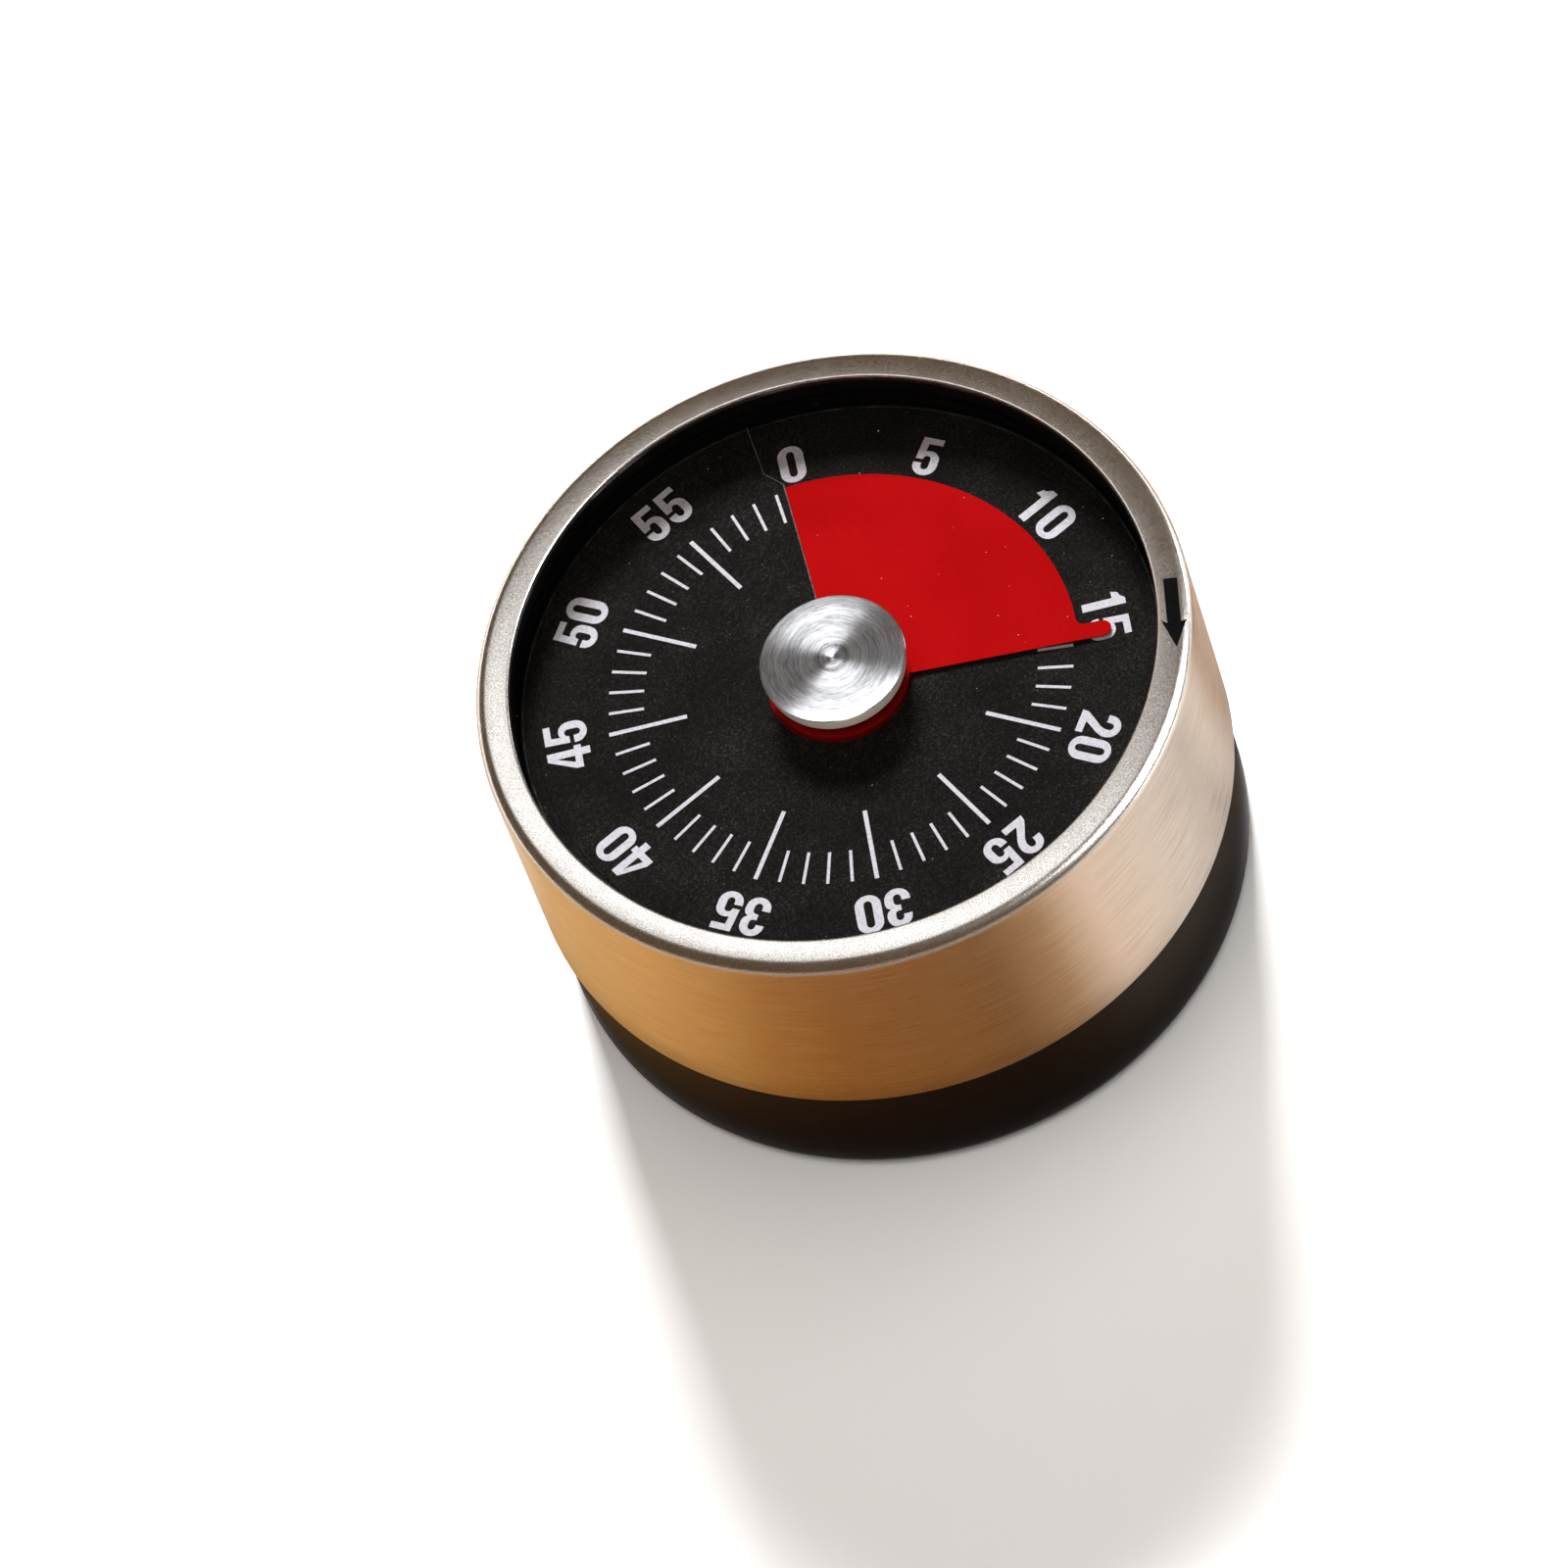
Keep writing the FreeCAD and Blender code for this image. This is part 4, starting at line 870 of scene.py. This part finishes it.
def sector_sheet():
    """The film, a flat spiral stair from its tail under the dial to its leading edge."""
    rows, steps = 9, 230
    radii = [SECTOR_INNER + (SECTOR_RADIUS - SECTOR_INNER) * k / rows for k in range(rows + 1)]
    tail = EDGE_ANGLE - SECTOR_SPAN
    columns = []
    for k in range(steps + 1):
        column = []
        for radius in radii:
            lead = EDGE_ANGLE + math.degrees(math.asin(EDGE_OFFSET / radius))
            angle = tail + (lead - tail) * k / steps
            level = sector_level(angle)
            column.append(sheet_pair(radius, angle, level, SECTOR_THICKNESS))
        columns.append(column)
    piece = grid_slab("sector_film", columns, [RED_FILM], "sector")
    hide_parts("red_sector")


def sector_tab():
    """The rounded pointer on the sector's leading edge, with a soft corner where it leaves it."""
    turn = math.radians(90 - EDGE_ANGLE)
    half = TAB_WIDTH / 2
    tip = TAB_RADIUS - half
    middle = half - EDGE_OFFSET
    flare, tuck = 0.75, 0.01

    def foot(y):
        return math.sqrt(SECTOR_RADIUS ** 2 - y ** 2) - tuck

    outline = [(foot(-EDGE_OFFSET), -EDGE_OFFSET)]
    outline += arc(tip, middle, half, -90, 90, 12)
    side = TAB_WIDTH - EDGE_OFFSET
    corner = foot(side)
    outline += arc(corner + flare, side + flare, flare, 270, 180, 6)
    outline += [(foot(y), y) for y in (side + flare * 0.6, side, middle + half / 2, middle,
                                       middle - half / 2)]
    loop = [(x * math.cos(turn) - y * math.sin(turn), x * math.sin(turn) + y * math.cos(turn))
            for x, y in outline]
    draped_plate("sector_pointer", [[loop]], lambda r, a: sector_level(a) - SECTOR_THICKNESS,
                 SECTOR_THICKNESS, RED_FILM, "sector")


# ---- carried-over CAD nodes ----

def paint_cad_nodes():
    slots = {part["node"]: part["material_slot"] for part in frame["record"]["subparts"]}
    for name, node in frame["nodes"].items():
        node.data.materials.clear()
        node.data.materials.append(BY_SLOT[slots[name]])
        smooth(node.data)


# ---- stage ----

def floor():
    """The plain pale floor, just under the timer so that the two don't touch."""
    mesh = bpy.data.meshes.new("floor")
    half, level = 1.0, -0.00003
    corners = [(-half, -half, level), (half, -half, level), (half, half, level), (-half, half, level)]
    mesh.from_pydata(corners, [], [(0, 1, 2, 3)])
    paint = Paint("floor_pale", (0.9, 0.9, 0.9), 0.9)
    shade = paint.noise(120.0, 1.0)
    paint.link(paint.ramp(shade, (0.3, 0.88), (0.7, 0.92)), "Base Color")
    mesh.materials.append(paint.material)
    plane = bpy.data.objects.new("floor", mesh)
    bpy.context.scene.collection.objects.link(plane)


# Round the card from behind the -x side, as a share of a turn, and the colour there.
CARD_COLORS = (
    (0.0, (0.6, 0.35, 0.14)), (0.08, (0.56, 0.28, 0.085)), (0.12, (0.45, 0.21, 0.055)),
    (0.155, (0.33, 0.13, 0.026)), (0.2, (0.24, 0.085, 0.014)), (0.3, (0.18, 0.072, 0.016)),
    (0.335, (0.32, 0.17, 0.07)), (0.37, (0.66, 0.48, 0.36)), (0.41, (0.58, 0.46, 0.37)),
    (0.48, (0.34, 0.26, 0.21)), (0.505, (0.52, 0.41, 0.33)), (0.535, (0.3, 0.17, 0.1)),
    (0.58, (0.36, 0.24, 0.16)), (0.8, (0.5, 0.36, 0.23)), (0.97, (0.68, 0.52, 0.38)),
    (1.0, (0.6, 0.35, 0.14)))


def warm_card():
    """A warm card on the floor round the timer, seen only in reflections in its polished side."""
    glow = Glow("card_warm")
    x, y, _ = glow.split()
    share = glow.range(glow.math("ARCTAN2", y, x), 0.0, 1.0, -math.pi, math.pi)
    glow.link(glow.ramp(share, *CARD_COLORS), "Color")
    reach = glow.nodes.new("ShaderNodeVectorMath")
    reach.operation = "LENGTH"
    glow.links.new(glow.position, reach.inputs[0])
    glow.link(glow.range(reach.outputs["Value"], 0.1, 1.5, 40 * MM, 49 * MM), "Strength")
    inner, outer, level = 39.5 * MM, 0.3, 0.0002
    sides = 96
    turns = [2 * math.pi * k / sides for k in range(sides)]
    vertices = [(radius * math.cos(turn), radius * math.sin(turn), level)
                for radius in (inner, outer) for turn in turns]
    faces = [(k, (k + 1) % sides, sides + (k + 1) % sides, sides + k) for k in range(sides)]
    mesh = bpy.data.meshes.new("warm_card")
    mesh.from_pydata(vertices, [], faces)
    mesh.materials.append(glow.material)
    card = bpy.data.objects.new("warm_card", mesh)
    bpy.context.scene.collection.objects.link(card)
    card.visible_camera = False
    card.visible_diffuse = False
    card.visible_shadow = False
    card.visible_transmission = False


def area_light(name, place, aim, size, watts, color=(1.0, 1.0, 1.0)):
    light = bpy.data.lights.new(name, "AREA")
    light.shape = "RECTANGLE"
    light.size, light.size_y = size
    light.energy = watts
    light.color = color
    holder = bpy.data.objects.new(name, light)
    holder.location = place
    holder.rotation_euler = (Vector(aim) - Vector(place)).to_track_quat("-Z", "Y").to_euler()
    bpy.context.scene.collection.objects.link(holder)
    return holder


def light_only(holder, *names):
    """Keeps a light to the objects it is set up for, as a flag or a grid does in a studio."""
    lit = bpy.data.collections.new(holder.name + "_lights")
    for name in names:
        lit.objects.link(bpy.data.objects[name])
    holder.light_linking.receiver_collection = lit


def lights():
    """A key from behind and a soft fill in front, with panels for the rim, the cap and the floor."""
    middle = (0, 0, 0.04)
    key = area_light("back_key", (0.0, 1.03, 0.7), middle, (0.42, 0.3), 55.0)
    key.visible_glossy = False
    fill = area_light("front_fill", (-0.2, -0.5, 1.1), middle, (1.2, 1.0), 3.2, (1.0, 0.97, 0.93))
    fill.visible_glossy = False
    area_light("right_softbox", (1.0, 0.65, 0.17), middle, (0.2, 0.2), 1.0)
    rim = area_light("rim_panel", (-0.077, 0.172, 0.393), (-0.077, 0.172, 0), (0.11, 0.32), 0.195)
    rim.rotation_euler = (0, 0, math.radians(52.3))
    light_only(rim, "shell_outer")
    edge = area_light("edge_panel", (0.8, -0.02, 0.75), middle, (0.5, 0.6), 16.0)
    light_only(edge, "shell_outer")
    strip = area_light("cap_strip", (-0.04, 0.1, 1.24), middle, (1.4, 0.32), 14.5)
    strip.rotation_euler = (0, 0, math.radians(6))
    soft = area_light("cap_sky", (0, 0, 2.0), middle, (3.0, 3.0), 4.5, (0.62, 0.8, 1.0))
    front = area_light("cap_front", (0.1, -1.0, 0.35), middle, (0.6, 0.3), 5.0, (1.0, 0.88, 0.74))
    for light in (strip, soft, front):
        light_only(light, "knob_disc")
    sheet = area_light("floor_fill", (0.3, -0.2, 2.0), (0.1, 0, 0), (2.5, 2.5), 30.0)
    light_only(sheet, "floor")


def surroundings():
    """White behind the timer, and a dim warm room for all that it reflects."""
    world = bpy.data.worlds.new("studio")
    bpy.context.scene.world = world
    world.use_nodes = True
    nodes, links = world.node_tree.nodes, world.node_tree.links
    room = nodes["Background"]
    room.inputs["Color"].default_value = (0.1, 0.064, 0.036, 1.0)
    paper = nodes.new("ShaderNodeBackground")
    paper.inputs["Color"].default_value = (1.0, 1.0, 1.0, 1.0)
    seen = nodes.new("ShaderNodeLightPath")
    either = nodes.new("ShaderNodeMixShader")
    links.new(seen.outputs["Is Camera Ray"], either.inputs["Fac"])
    links.new(room.outputs[0], either.inputs[1])
    links.new(paper.outputs[0], either.inputs[2])
    links.new(either.outputs[0], nodes["World Output"].inputs["Surface"])


def camera():
    """A long lens from above and a little to the right, rolled as the timer stands in its view."""
    place = Vector((85.19, -600.70, 946.03)) * MM
    aim = Vector((-7.94, -11.26, 38.15)) * MM
    roll = math.radians(-20.98)
    ahead = (aim - place).normalized()
    level = ahead.cross(Vector((0, 0, 1))).normalized()
    upright = level.cross(ahead)
    right = level * math.cos(roll) + upright * math.sin(roll)
    up = right.cross(ahead)
    data = bpy.data.cameras.new("camera")
    data.lens = 234.74
    data.sensor_width = 36.0
    data.clip_start = 0.05
    data.clip_end = 20.0
    eye = bpy.data.objects.new("camera", data)
    eye.matrix_world = Matrix.Translation(place) @ Matrix((right, up, -ahead)).transposed().to_4x4()
    bpy.context.scene.collection.objects.link(eye)
    bpy.context.scene.camera = eye


camera()
paint_cad_nodes()
steel_shell()
wall_ring()
window_pane()
knob_cap()
rim_arrow()
dial_sheet()
minute_ticks()
dial_numbers()
sector_sheet()
sector_tab()
floor()
warm_card()
lights()
surroundings()
bpy.context.scene.view_settings.view_transform = "Standard"
